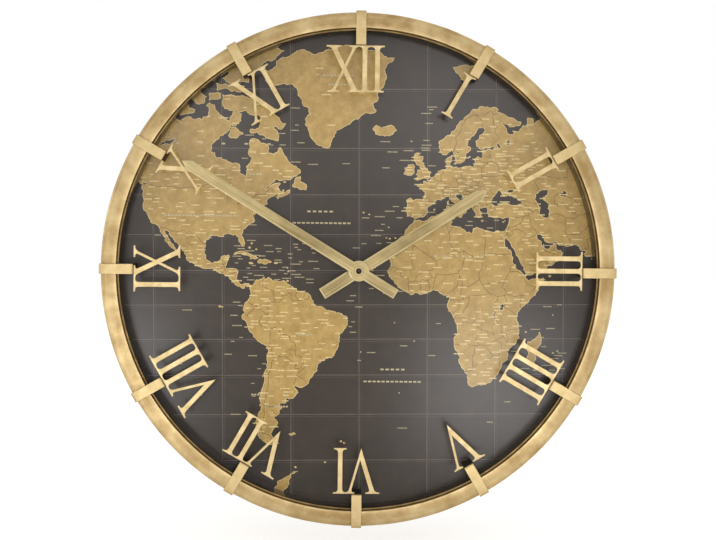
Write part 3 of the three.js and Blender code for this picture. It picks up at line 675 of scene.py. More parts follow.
@dataclass
class Rim:
    """The rolled brass channel round the clock and the thin hoop inside it. Millimetres."""

    radius: float = 300.0
    depth: float = 61.0
    face_width: float = 18.0
    face_fall: float = 1.2
    face_crown: float = 0.24
    # Points of the face: share of its width, and how many crowns it lies below the arris
    crown_shape: tuple[Point, ...] = ((0.62, 2.4), (0.45, 1.0), (0.25, 0.25))
    edge_radius: float = 3.0
    edge_turn: float = 88.0
    edge_steps: int = 10
    arris_radius: float = 0.7
    arris_steps: int = 5
    sheet: float = 1.5
    foot_depth: float = 27.3
    liner_radius: float = 281.5
    liner_thickness: float = 2.2
    liner_front: float = 56.0
    liner_rounding: float = 0.5
    liner_steps: int = 4
    wall_margin: float = 0.2
    turns: int = 288

    def channel(self) -> list[Point]:
        """Returns the rim's section: outer wall, rolled edge, crowned face, arris, inner wall."""
        inner = self.radius - self.face_width
        fall = self.depth - self.face_fall
        edge_middle = (self.radius - self.edge_radius, fall - self.edge_radius)
        crown = [
            (inner + self.face_width * share, self.depth - self.face_crown * drop)
            for share, drop in self.crown_shape
        ]
        arris_middle = (inner + self.arris_radius, self.depth - self.arris_radius)
        return [
            (self.radius, 0.0),
            *round_corner(edge_middle, self.edge_radius, 0, self.edge_turn, self.edge_steps),
            *crown,
            *round_corner(arris_middle, self.arris_radius, 90, 180, self.arris_steps),
            (inner, self.liner_front),
            (inner, self.foot_depth),
            (inner + self.sheet, self.foot_depth),
            (inner + self.sheet, fall - self.sheet),
            (self.radius - self.edge_radius, fall - self.sheet),
            (self.radius - self.sheet, fall - self.edge_radius),
            (self.radius - self.sheet, 0.0),
        ]

    def hoop(self) -> list[Point]:
        """Returns the liner's section, with its front edges eased."""
        bore = self.liner_radius - self.liner_thickness
        nose, steps = self.liner_rounding, self.liner_steps
        shoulder = self.liner_front - nose
        outer = round_corner((self.liner_radius - nose, shoulder), nose, 0, 90, steps)
        inner = round_corner((bore + nose, shoulder), nose, 90, 180, steps)
        return [(self.liner_radius, self.foot_depth), *outer, *inner, (bore, self.foot_depth)]

    def build(self) -> None:
        """Makes both rings: painted shade on the rim's inside wall, and dark gloss paint in the liner's
        bore.
        """
        inner = self.radius - self.face_width
        rim = lathe("rim_channel", self.channel(), RIM_BRASS, self.turns)
        # The rim's inside wall below the liner's front gets painted shade
        darken(rim, INNER_PAINTED_SHADE, inner + self.wall_margin, self.liner_front)
        settle(rim, "case", "outer_rim", "rim_face")
        bore = self.liner_radius - self.liner_thickness
        liner = lathe("liner_hoop", self.hoop(), LINER_BRASS, self.turns)
        darken(liner, BORE_PAINT, bore + self.wall_margin, self.liner_front - self.liner_rounding)
        settle(liner, "case", "inner_liner")


# Straps, numerals and hands


@dataclass
class Straps:
    """Twelve bars bent over the rim, one at each hour. Millimetres."""

    width: float = 11.8
    thickness: float = 1.6
    inner_radius: float = 262.0
    outer_leg_radius: float = 300.3
    underside: float = 61.3
    inner_bend: float = 0.6
    outer_bend: float = 1.8
    outer_leg: float = 26.0
    foot_depth: float = 27.3
    edge_rounding: float = 0.35
    bend_steps: int = 8

    def section(self) -> list[Point]:
        """Returns the bar's side view as radius and depth, at 12 o'clock."""
        inner = self.inner_radius + self.thickness
        outer = self.outer_leg_radius
        near = (inner + self.inner_bend, self.underside - self.inner_bend)
        far = (outer - self.outer_bend, self.underside - self.outer_bend)
        steps = self.bend_steps
        return [
            (self.inner_radius, self.foot_depth),
            (inner, self.foot_depth),
            *round_corner(near, self.inner_bend, 180, 90, steps),
            *round_corner(far, self.outer_bend, 90, 0, steps),
            (outer, self.underside - self.outer_leg),
            (outer + self.thickness, self.underside - self.outer_leg),
            *round_corner(far, self.outer_bend + self.thickness, 0, 90, steps),
            *round_corner(near, self.inner_bend + self.thickness, 90, 180, steps),
        ]

    def build(self) -> None:
        """Makes one bar and sets it at the twelve hours."""
        section = self.section()
        count = len(section)
        half = self.width / 2
        vertices = [
            Vector((side * half, -depth, radius)) * MM for side in (-1, 1) for radius, depth in section
        ]
        faces = [(at, (at + 1) % count, count + (at + 1) % count, count + at) for at in range(count)]
        # Both sides are closed by strips across the bar's thickness, from the inner leg to the outer
        faces += [
            tuple(start + (corner % count) for corner in (at + 1, at + 2, count - at - 1, count - at))
            for start in (0, count)
            for at in range(count // 2 - 1)
        ]
        first = mesh_piece("strap_form_12", vertices, faces, BAR_BRASS)
        face_outward(first)
        smooth(first)
        # The inner leg, below the near bend, gets painted shade
        leg = self.inner_radius + self.thickness + self.inner_bend
        darken(first, INNER_PAINTED_SHADE, leg, self.underside - self.inner_bend)
        for hour in range(12):
            bar = first
            if hour:
                bar = placed(f"strap_form_{hour}", first.data)
            soften(bar, self.edge_rounding)
            bar.matrix_world = clockwise(30 * hour)
            settle(bar, "case", f"strap_{hour or 12}")


@dataclass
class Numerals:
    """The twelve Roman numerals cut from plate. Millimetres."""

    edge_rounding: float = 0.3
    names: str = "XII I II III IIII V VI VII VIII IX X XI"

    def build(self, frame: dict) -> None:
        """Rounds the cut edges of each numeral."""
        for name in self.names.split():
            softened_node(frame, f"numeral_{name}", PLATE_BRASS, self.edge_rounding)


@dataclass
class Hand:
    """One hand: a round eye, a blade with a blunt point and a square tail. Millimetres."""

    name: str
    body: str
    clock_angle: float
    width: float
    reach: float
    tail: float
    point: float
    back: float
    hole_radius: float
    eye_radius: float = 12.0
    thickness: float = 1.5
    bevel_width: float = 1.7
    bevel_depth: float = 0.8
    eye_steps: int = 24
    hole_steps: int = 48

    def outline(self, inset: float) -> list[Point]:
        """Returns the outline, drawn in by an inset, as across and up."""
        half = self.width / 2 - inset
        eye = self.eye_radius - inset
        side = math.degrees(math.asin(half / eye))
        slope = math.hypot(self.width / 2, self.point)
        tip = self.reach - inset * slope / (self.width / 2)
        shoulder = tip - half * self.point / (self.width / 2)
        tail = inset - self.tail
        return [
            (half, shoulder),
            (0.0, tip),
            (-half, shoulder),
            *round_corner((0, 0), eye, 90 + side, 270 - side, self.eye_steps),
            (-half, tail),
            (half, tail),
            *round_corner((0, 0), eye, -90 + side, 90 - side, self.eye_steps),
        ]

    def build(self) -> None:
        """Makes the hand with its bevelled front edges and its hole."""
        front = self.back + self.thickness
        outer = self.outline(0.0)
        inner = self.outline(self.bevel_width)
        hole = round_corner((0, 0), self.hole_radius, 0, 360, self.hole_steps)[:-1]
        count, round_count = len(outer), len(hole)
        levels = [
            (outer, self.back),
            (outer, front - self.bevel_depth),
            (inner, front),
            (hole, self.back),
            (hole, front),
        ]
        vertices = [Vector((x, -depth, z)) * MM for ring, depth in levels for x, z in ring]
        starts = [0, count, 2 * count, 3 * count, 3 * count + round_count]
        faces = []
        for low, high, length in ((0, 1, count), (1, 2, count), (3, 4, round_count)):
            faces += [
                (
                    starts[low] + at,
                    starts[low] + (at + 1) % length,
                    starts[high] + (at + 1) % length,
                    starts[high] + at,
                )
                for at in range(length)
            ]
        for edge, bore, ring in ((2, 4, inner), (0, 3, outer)):
            loops = [[Vector((x, z, 0)) for x, z in part] for part in (ring, hole)]
            corners = [*range(starts[edge], starts[edge] + count)]
            corners += [*range(starts[bore], starts[bore] + round_count)]
            faces += [tuple(corners[at] for at in face) for face in tessellate_polygon(loops)]
        piece = mesh_piece(f"{self.name}_form", vertices, faces, HAND_METAL)
        piece.data.materials.append(HAND_BEVEL.material())
        for at in range(count, 2 * count):
            piece.data.polygons[at].material_index = 1
        face_outward(piece)
        smooth(piece, sharp_degrees=20.0)
        piece.matrix_world = clockwise(self.clock_angle)
        settle(piece, self.body, self.name)


# World map. Each outline is a row of places in degrees, written longitude,latitude


def places(text: str) -> list[Point]:
    """Reads a row of places with spaces between them."""
    return [(float(a), float(b)) for a, b in (pair.split(",") for pair in text.split())]


def rows(text: str) -> list[list[Point]]:
    """Reads several rows of places with semicolons between them."""
    return [places(row) for row in text.split(";")]


AMERICAS = places("""
-156,71.3 -150,70.5 -141,69.6 -136,69.1 -134,69.6 -129,70 -128,70.5 -125,69.5 -124.5,70.1 -123,69.4 -119,69
-115.5,68.8 -115,68 -113.5,67.7 -110,68 -108,67.4 -107.5,66.6 -107,67.9 -105,68.4 -102,67.8 -98.5,67.8
-98,68.4 -96,68.2 -95.5,69 -96.5,71.3 -95,71.9 -93,71.3 -92,69.8 -91.5,69.6 -90,68.8 -88,67.9 -86.5,67.4
-85.5,68.8 -85,69.7 -82.5,69.7 -81.3,69.1 -81.5,67.5 -83.5,66.3 -86,66.4 -87.5,64.6 -89,64 -91,63.4 -93,62
-94.5,60.5 -94.8,59 -93,58.7 -92.5,57.2 -90,57 -88,56.5 -85,55.3 -82.3,55.1 -82.2,53 -81,51.8 -79.5,51.2
-79,52.5 -79.2,54.3 -77.5,55.5 -76.6,57 -78.3,58.9 -77.5,60 -78,61.5 -77.5,62.5 -74,62.3 -72,61.5 -70,61
-69.5,60 -70,58.8 -68.5,58.5 -66,58.8 -65,60 -64.5,60.3 -63.5,59 -62,57.5 -61,56 -60,55.2 -57.5,54.5
-56,53.5 -55.8,52.3 -57.5,51.4 -60,50.2 -63,50.2 -66.5,50.2 -68,49.1 -70,47.9 -71.2,46.8 -69.5,47.6 -67,48.8
-64.4,48.9 -65.5,48 -64.8,46.8 -64,46 -62.5,45.7 -60.3,46.8 -60.4,45.8 -63.5,44.5 -65.7,43.5 -66.2,44.2
-64.5,45.3 -66.5,45.1 -68,44.4 -70,43.7 -70.7,42.7 -70,41.8 -71.4,41.4 -73.8,40.8 -74.2,39.5 -75,38.9
-75.5,39.5 -75.2,38.3 -76,37.1 -76.3,38.9 -76.5,37 -76,36.2 -75.6,35.3 -77,34.6 -78.5,33.8 -79.5,32.9
-81,31.8 -81.4,30.3 -80.6,28.4 -80.1,26.8 -80.4,25.2 -81.2,25.2 -82,26.7 -82.8,27.9 -82.7,29 -84,30.1
-85.3,29.7 -87,30.4 -89.5,30.2 -89.2,29.1 -90.5,29.2 -92,29.6 -94,29.7 -95.5,28.8 -97.2,27.7 -97.3,26
-97.7,24.5 -97.8,22.5 -97.2,20.7 -96.1,19.2 -94.8,18.3 -93,18.5 -91.8,18.6 -90.7,19.5 -90.4,20.9 -89,21.4
-87,21.6 -86.8,20.8 -87.5,19.5 -88,18.4 -88.2,17.3 -88.6,15.8 -87,15.8 -85,15.9 -83.3,15.1 -83.5,13 -83.7,11
-82.5,9.5 -81.2,8.8 -79.8,9.5 -78.5,9.4 -77.3,8.6 -76.8,8.1 -76.2,9.1 -75.5,10.5 -74.8,11 -73,11.3
-71.7,12.4 -71.5,11 -70.5,11.4 -69.9,12.1 -68.5,11.3 -68,10.6 -66,10.6 -64.5,10.2 -62.8,10.7 -62,10
-60.8,8.8 -60,8.3 -58.5,7.2 -57.2,6 -55,5.9 -53,5.3 -51.5,4.3 -50.8,2.5 -50,1.7 -50,0.3 -48.5,-0.8 -46,-1.1
-44.3,-2.5 -41.5,-2.9 -38.5,-3.7 -37,-4.8 -35.3,-5.3 -34.9,-7 -35,-8.5 -36.5,-10.5 -37.5,-12 -38.8,-13.2
-39,-15 -39.1,-17.5 -39.8,-19.6 -41,-21.8 -42,-22.9 -44.5,-23.1 -46.5,-24.1 -48.2,-25.5 -48.6,-27
-48.8,-28.5 -50.2,-30 -52,-32.2 -53.5,-34 -55,-34.9 -56.5,-34.8 -58.2,-34 -58.5,-34.6 -57.2,-36 -56.8,-36.8
-58,-38.2 -61.5,-38.9 -62.3,-39.2 -62.2,-40.7 -64.8,-40.8 -65,-42 -63.8,-42.4 -65,-43.2 -65.4,-45 -67.5,-46
-66,-47.5 -65.8,-48.1 -67.7,-50 -69,-51.5 -68.4,-52.4 -68.2,-53.2 -66.8,-54.2 -65.2,-54.7 -68,-55 -70,-55
-72,-54 -74,-52.8 -74.5,-51 -75.5,-49.5 -75.5,-47.5 -74.5,-46 -74,-44.2 -72.8,-42 -73.8,-41.7 -73.5,-39.5
-73.5,-37.3 -72.6,-35.5 -71.7,-33.2 -71.5,-31 -71.3,-28.5 -70.6,-26 -70.5,-23.5 -70.1,-21 -70.3,-18.4
-71.5,-17.3 -74,-16 -76.2,-14 -77.2,-12 -78.5,-9.5 -79.8,-7 -81.2,-6 -81.2,-4.3 -80,-3.3 -80.9,-2.2
-80.6,-0.8 -80,0.8 -78.8,1.6 -77.5,3.8 -77.5,6 -77.9,7.2 -78.4,8.4 -79.6,8.9 -80.4,8.2 -80.2,7.4 -81.7,7.7
-82.8,8.2 -83.7,8.6 -84.7,9.7 -85.8,10 -85.9,11.1 -87.5,12.9 -88.5,13.2 -91,13.9 -92.3,14.6 -94,16.1
-95.5,15.9 -97.5,15.9 -99.8,16.7 -102,17.9 -104,18.9 -105.5,20 -105.3,21.3 -106.5,23.4 -108.5,25.4
-109.5,26.7 -111,28 -112.3,29.3 -113,31 -114.8,31.8 -114.5,30 -112.8,28 -111.3,26 -110.2,24.2 -109.5,23.1
-110.3,23.2 -112,24.6 -113.5,26.7 -115,27.8 -114.2,28.5 -115.8,30.2 -117.1,32.5 -118.5,34 -120.6,34.5
-121.9,36.6 -122.5,37.8 -123.8,39.3 -124.3,40.4 -124.2,42 -124.1,44 -124,46.2 -124.7,48.3 -122.8,49
-124.5,50 -127,51 -128,52.5 -130,54.3 -131.5,56 -134,58 -137,58.5 -139.5,59.6 -144,60 -150,60
""")
EURASIA = places("""
-5.4,36.1 -6.3,36.8 -7.4,37.2 -8.9,37 -8.8,38.5 -9.4,38.8 -8.8,40.5 -8.9,42.2 -9.2,43.1 -8,43.7 -4.5,43.4
-1.8,43.4 -1.2,44.7 -1.2,46 -2.3,47.2 -4.4,47.9 -4.7,48.5 -3,48.8 -1.6,48.7 -1.8,49.7 -0.2,49.3 1.3,50.1
1.7,50.9 3.2,51.4 4.5,52.4 4.9,53.1 6.9,53.5 8.6,53.9 8.7,55 8.1,55.6 8.1,56.8 9.8,57.5 10.6,57.7 10.3,56.6
10.9,56.4 9.8,55.5 9.7,54.8 11,54.2 12.5,54.4 14.2,53.9 16.5,54.5 18.6,54.7 19.8,54.4 21,55.3 21.1,57
22,57.6 23.2,57.1 24.3,57.3 24.4,58.3 23.5,59.2 26,59.6 28,59.5 30,59.9 28.5,60.6 25,60.1 23,59.9 21.4,60.8
21.3,62.2 22.9,63.7 25.2,65 24.5,65.8 22.3,65.8 21.3,64.5 19.5,63.5 17.7,62.4 17.2,60.8 18.9,60 18,59
16.7,58.4 16.5,57 16,56.2 14.4,55.5 13,55.4 12.6,56.5 11.8,57.8 11.2,59 10.6,59.6 9.8,59 8,58.1 6.5,58.2
5.6,59 5.1,60.3 5,61.8 6.7,62.6 9.5,63.7 10.8,64.8 12.7,66.2 14.5,67.6 16.5,68.5 19,69.8 22,70.5 25.7,71.1
28.5,70.9 31,70.3 30,69.7 33,69.4 37,68.3 41,67.2 40.5,66.4 38,66.1 34.5,66.7 32.6,67.1 33.5,66.5 34.8,64.5
37.5,63.9 38,64.7 37.2,65.1 40,64.6 40.5,65.3 42,66.4 44,66 44,68.4 46,68.2 46.3,66.9 49,67.8 53,68.6
55,68.4 59,68.8 61,69.7 64.5,69.3 68,68.5 67,69.7 66.8,71.2 69,72.8 72.5,72.8 72,71 72.7,69 72,67 74,67
74,71 78,72 85,73.5 90,75 95,60 95,25 90,10 77.5,8.1 76.3,10 75,12.5 74,15 73,17.5 72.8,19 72.8,21 72.3,21.7
72,20.9 70.5,20.8 69,22.2 70.3,22.9 68.5,23.5 67,24.8 66.5,25.4 62,25.2 58,25.6 57,26.9 56,27.1 54,26.6
51.5,27.8 50.2,30 48.5,30.1 48,29.4 48.8,27.8 50.2,26.6 50.6,25 51.3,26.1 51.6,24.4 53.8,24.1 56.2,26.2
56.6,24.3 58.8,23.5 59.8,22.4 57.8,20.3 57.7,19 55.5,17.6 52.2,15.7 49,14.2 45.5,13 43.4,12.7 42.8,15
42.6,16.6 40.7,19.5 39.2,21.3 38.5,23.5 37,25.3 35.5,27.8 35,28.1 35,29.5 34.4,28 33.2,28.8 32.5,29.9
32.3,31.3 34.2,31.3 35,32.8 35.8,34.8 36,36.8 34.5,36.7 33,36.1 31,36.8 30.5,36.5 28.5,36.8 27.3,37.2
26.4,38.5 26.5,39.5 26.2,40.1 25.9,40.8 24,40.6 23.9,40.1 22.8,40.4 22.9,39.3 24,38.2 23.5,37.8 23,36.6
22,36.7 21.3,37.8 20.8,38.9 19.9,39.7 19.4,41.5 17.5,42.8 15.5,44 14.6,45.3 13.6,45.2 13.6,45.7 12.3,45.3
12.4,44.2 13.6,43.5 15,42.1 16.1,41.8 18.4,40.2 17,40.5 17,39 16,38 15.8,39.8 14.5,40.7 12.2,41.7 10.5,42.9
10.2,43.9 8.8,44.4 7.3,43.7 6,43.1 4.5,43.4 3.1,43.1 3.2,42 0.8,40.9 -0.3,39.5 0.1,38.7 -0.8,37.6 -2.2,36.8
-4.4,36.7
""")
AFRICA = places("""
32.5,29.9 33.9,27.3 35.5,24 37.2,21 37.4,18.8 39,16 41,14.6 43.2,12.4 43.3,11.5 44.5,10.4 47,11.2 51.2,11.9
50.7,9.5 49,6.5 47.5,4 45,2 42.5,-0.5 41,-2 40,-3.2 39,-5.5 39.5,-7 40.4,-10.5 40.6,-14.5 39,-17 36.5,-18.8
34.8,-20 35.5,-22 35.5,-23.8 33,-25.3 32.7,-27 31.5,-29.3 30,-31.2 28,-33 25.7,-34 22.5,-34 20,-34.8
18.4,-34.2 18.2,-32 16.7,-29 15.2,-27 14.5,-23 12,-18 11.8,-16 13.5,-12.5 13.3,-9 12.2,-6 11,-4 9,-1 9.4,1
9.8,3.1 9,4.3 7,4.4 5.5,5.3 4.3,6.3 2,6.3 -1,5.1 -2.1,4.8 -4.5,5.2 -7.5,4.4 -9.5,6 -11.5,7 -13.2,8.8
-14.8,10.8 -16.7,12.3 -17.5,14.7 -16.5,16 -16.2,19 -17,21 -16,23.8 -14.4,26.2 -12.9,27.9 -10.2,29.3
-9.7,31.3 -8,33.2 -6.5,34.3 -5.9,35.8 -5,35.5 -3,35.3 -1.8,35.1 1,36.5 5,36.8 7.8,37 10,37.3 11,37 10.2,35.8
11,35 10,34 11.2,33.2 13.5,32.8 15.3,32.2 17,30.9 19.3,30.3 20.1,31.2 20.2,32.3 21.7,32.9 23.2,32.3
25.2,31.6 27.5,31.1 29.5,30.9 31.2,31.5 32.3,31.3
""")
GREENLAND = places("""
-73,78.3 -69,77.4 -71,77 -68,76 -63,76.2 -58,75.4 -55.5,73 -54.5,71.5 -52,70.5 -51,69.3 -53.5,68 -53.5,66.5
-52,65 -51.5,63.5 -49.5,62 -48,61 -45.5,60.2 -43.5,60 -42.5,61.5 -41.5,63 -40,65 -37,65.8 -33.5,67.2
-30,68.2 -25,69.3 -22.5,70.2 -24,71.5 -22,72.3 -22,74 -19.5,75.5 -18.5,77 -19,79 -17.5,80.2 -14.5,81.3
-20,82 -24,82.6 -31,83.5 -38,83.3 -45,82.5 -51,82.1 -58,82.2 -62,81.3 -66,80.6 -66,79.8 -68,79
""")
ISLANDS = rows("""
-78,76.3 -82,76.4 -88,76.6 -89.5,77.2 -86.5,78 -88,79 -91.5,80 -93,81.2 -86,82.2 -78,83 -70,83.1 -62.5,82.5
-65,81.8 -70,80.8 -73,79.6 -76,78.6 -78.5,77.4; -80,75.7 -80.5,74.7 -86,74.5 -92,74.8 -92.5,76.2 -89,76
-84,75.8; -89.5,72.5 -89.5,73.8 -85.5,73.8 -81,73.6 -78,72.9 -76,72.8 -72,71.4 -68.5,70.5 -67,69.2
-64.5,67.5 -62,66.8 -64,65.2 -66,66 -67.5,65.8 -65,63.5 -65.5,62 -68.5,62.6 -72,63.8 -74.5,64.6 -77.5,64.4
-77.5,65.3 -73.8,65.6 -73,67.3 -72.7,68.3 -75,69 -79,70 -82.5,69.9 -85,70 -88.5,70.5 -89.5,71.3; -80.5,64
-84,62.9 -87,63.6 -86,65.7 -84,65.9 -81.7,64.5; -117,69.9 -113.5,69.2 -113.5,68.6 -109,68.7 -105.5,69.2
-102,69.5 -101.5,70.1 -104.5,71 -104.5,72.8 -107.5,73.2 -110,72.8 -114,72.7 -118,72.6 -118.5,71.5
-115.5,70.6; -123,71.2 -125.8,72 -124.5,74.2 -121,74.5 -116,73.3 -119,72 -120.5,71.4; -107,76 -106,75
-112,74.5 -117,75.2 -116.5,76.4 -110,76.5; -97.5,71.8 -96.5,73.3 -98.5,74 -101.5,73.7 -102,72.3 -99.5,71.5;
-90.3,73 -92,72.7 -95.3,72.4 -95.5,73.9 -93,74.1 -90.3,73.9; -98,76.5 -97.8,75 -102.5,75 -103,76
-100.5,76.6; -95,78.3 -96,80.6 -92.5,81 -90.5,79.6 -92,78.2; -59.2,47.8 -57,47.6 -55.8,46.9 -54,46.9
-53.2,46.7 -52.8,47.8 -53.8,48.8 -55.8,49.6 -55.6,51.4 -57,51 -58.2,49.2 -59,48.4; -123.5,48.4 -125,48.8
-128.2,50.7 -127,51 -125,50; -131.2,52.2 -133,53.5 -132,54.1 -131.6,53.2; -84.9,21.9 -83,22.9 -81,23.2
-79,22.6 -76.5,21.3 -74.2,20.3 -75.5,19.9 -77.7,19.9 -77.5,20.7 -79,21.6 -81.8,22.2 -83.5,22.2; -74.4,18.4
-73.2,19.9 -71,19.8 -69.5,19.2 -68.4,18.6 -70,18.3 -71.5,17.7 -72.5,18.2; -78.3,18.3 -76.9,18.4 -76.3,18
-77.5,17.8; -67.2,18.4 -65.7,18.4 -65.9,18 -67.2,18; -22.7,64 -24,65.5 -22.4,66.4 -20.3,65.7 -18,66.1
-16,66.5 -14.6,65.7 -13.6,65 -15,64.3 -18.7,63.4 -20.5,63.7; -5.7,50.1 -3.5,50.3 -1,50.7 1.3,51.1 0.7,51.5
1.7,52.6 0.3,52.9 0,53.6 -1.3,54.6 -1.6,55.6 -3,56 -2.1,57.2 -1.9,57.6 -4,57.6 -3.1,58.6 -5,58.6 -5.8,57.4
-5.6,56.2 -4.9,55.2 -3.5,54.9 -3.3,54 -3,53.3 -4.5,53.3 -4.2,52.6 -5.1,51.8 -3.3,51.4 -4.3,51.1; -6.2,52.2
-6,53.4 -5.6,54.5 -6.5,55.2 -8.3,55.1 -8.5,54.3 -10,54.1 -9.3,53.2 -10.2,52 -8.5,51.6; 16,76.7 14,77.8
11,79.5 16,80 21,80.1 27,80.1 20,78.7 18,77.4; 51.5,71.5 53,70.9 57.5,70.7 55.5,72.5 58.5,74.3 64,75.8
69,76.7 67,77 60,76.2 55,74.5 52.5,72.5; 12.5,38 15.6,38.2 15.1,36.7; 8.3,41 9.7,41 9.6,39.2 8.4,39;
8.7,42.6 9.4,43 9.4,41.5 8.8,41.6; 23.6,35.5 26.2,35.3 24,35; 32.4,35 34.4,35.6 33.5,34.7; 11.2,55.3 12.5,56
12.4,55.1; 49.3,-12 50.4,-15.6 49,-18.5 47.2,-24.9 45.3,-25.5 43.6,-23.5 44.4,-20 44.3,-16.3 46.3,-15.7;
-61,-51.8 -59,-51.3 -58,-51.8 -60,-52.3; -57,-63.2 -60,-64 -61,-66 -63,-68 -62,-72 -75,-76 -80,-75 -75,-73
-68.5,-70 -67,-67.5 -63,-65 -60,-63.8
""")
# Small islands: longitude, latitude and reach in millimetres
ISLETS = [
    (-78, 24.7, 1.5), (-77, 26.4, 1.3), (-75, 24, 1.1), (-73.5, 21.2, 0.9), (-61, 14.6, 0.9),
    (-61.5, 16.2, 0.9), (-61.3, 10.5, 1.5), (-16.5, 28.3, 1.1), (-14, 28.5, 1.0), (-18, 28.6, 0.8),
    (-25.5, 37.8, 0.9), (-28, 38.5, 0.9), (-17, 32.8, 0.8), (-24, 15, 0.9), (-23, 16.2, 0.8),
    (-38, -54.2, 1.4), (-36.6, -54.7, 1.1), (43.5, -12, 0.9), (57.5, -20.3, 1.0), (55.5, -21.1, 1.0),
    (54, 12.5, 1.4), (-91, -0.6, 1.4), (-90, -0.8, 0.9), (3, 39.6, 1.2), (18.5, 57.5, 1.1),
    (50, 80.5, 2.4), (58, 80.6, 2.6), (49, 69, 1.6), (-58, -62, 1.2), (-45, -60.6, 1.2),
    (8.7, 3.5, 0.8), (-7, 62, 0.9), (-62.5, 49.4, 1.6), (-63.2, 46.4, 1.4), (55.4, -4.6, 0.8),
    (-14.4, -7.9, 0.6), (-5.7, -15.9, 0.6), (-29.3, -20.5, 0.6), (-12.3, -37.1, 0.7),
]
# Inland waters large enough for the map to show
LAKES = rows("""
28,41.6 29.2,41.2 31.5,41.3 35,42 36.5,41.3 39,41.1 41.5,41.7 41.2,42.8 39,44 37.3,44.8 36.6,45.2 35.4,45
33.6,44.5 32.7,45.4 33.6,46 31,46.6 29.8,45.4 28.7,44.3 27.7,42.6; 35.2,45.5 36.8,45.5 38,46.2 39.2,47.1
37,46.8 35,46.3; 51.5,46.8 49,46.3 47.5,45.2 47,43.5 48.5,41.8 49.5,40.6 49.2,39.2 49,37.8 51,36.7 53.8,36.9
53.8,39 53,40 54.5,41.5 52.5,42.5 51,44.3 53,45.2 53,46.7; 58.5,44.5 60.5,44.2 61.5,45.8 60,46.6 58.4,45.5;
27.3,40.5 28.9,41 29.2,40.7 27.7,40.4; 31.8,-0.6 33,0.4 34.2,-0.2 33.6,-1.8 33.3,-2.5 32,-2.5; 29.2,-3.4
29.9,-4.5 30.2,-6.8 31.2,-8.7 30.5,-8.3 29.4,-6 29,-4.2; 34,-9.6 34.6,-11.4 34.9,-14.2 34.3,-13.8 34.1,-11.6
33.8,-10; 31,60 32.8,60.4 31.5,61.6 30.2,61; 34.6,61 36,61 35.5,62.6 34.8,62; 12.8,58.5 13.9,58.8 13.3,59.3;
-124.5,65.5 -121,65 -118,66.6 -120,67 -123,66.5; -117,61 -113.5,61.2 -110,62.6 -112.5,62.2 -115.5,61.8;
-97,50.4 -96.5,52 -98,53.8 -99,53.4 -97.8,51.8; -70.2,-15.3 -69.2,-16.5 -68.9,-16.2 -69.7,-15.3; 13.3,13.3
14.5,13.2 14.4,12.6
""")
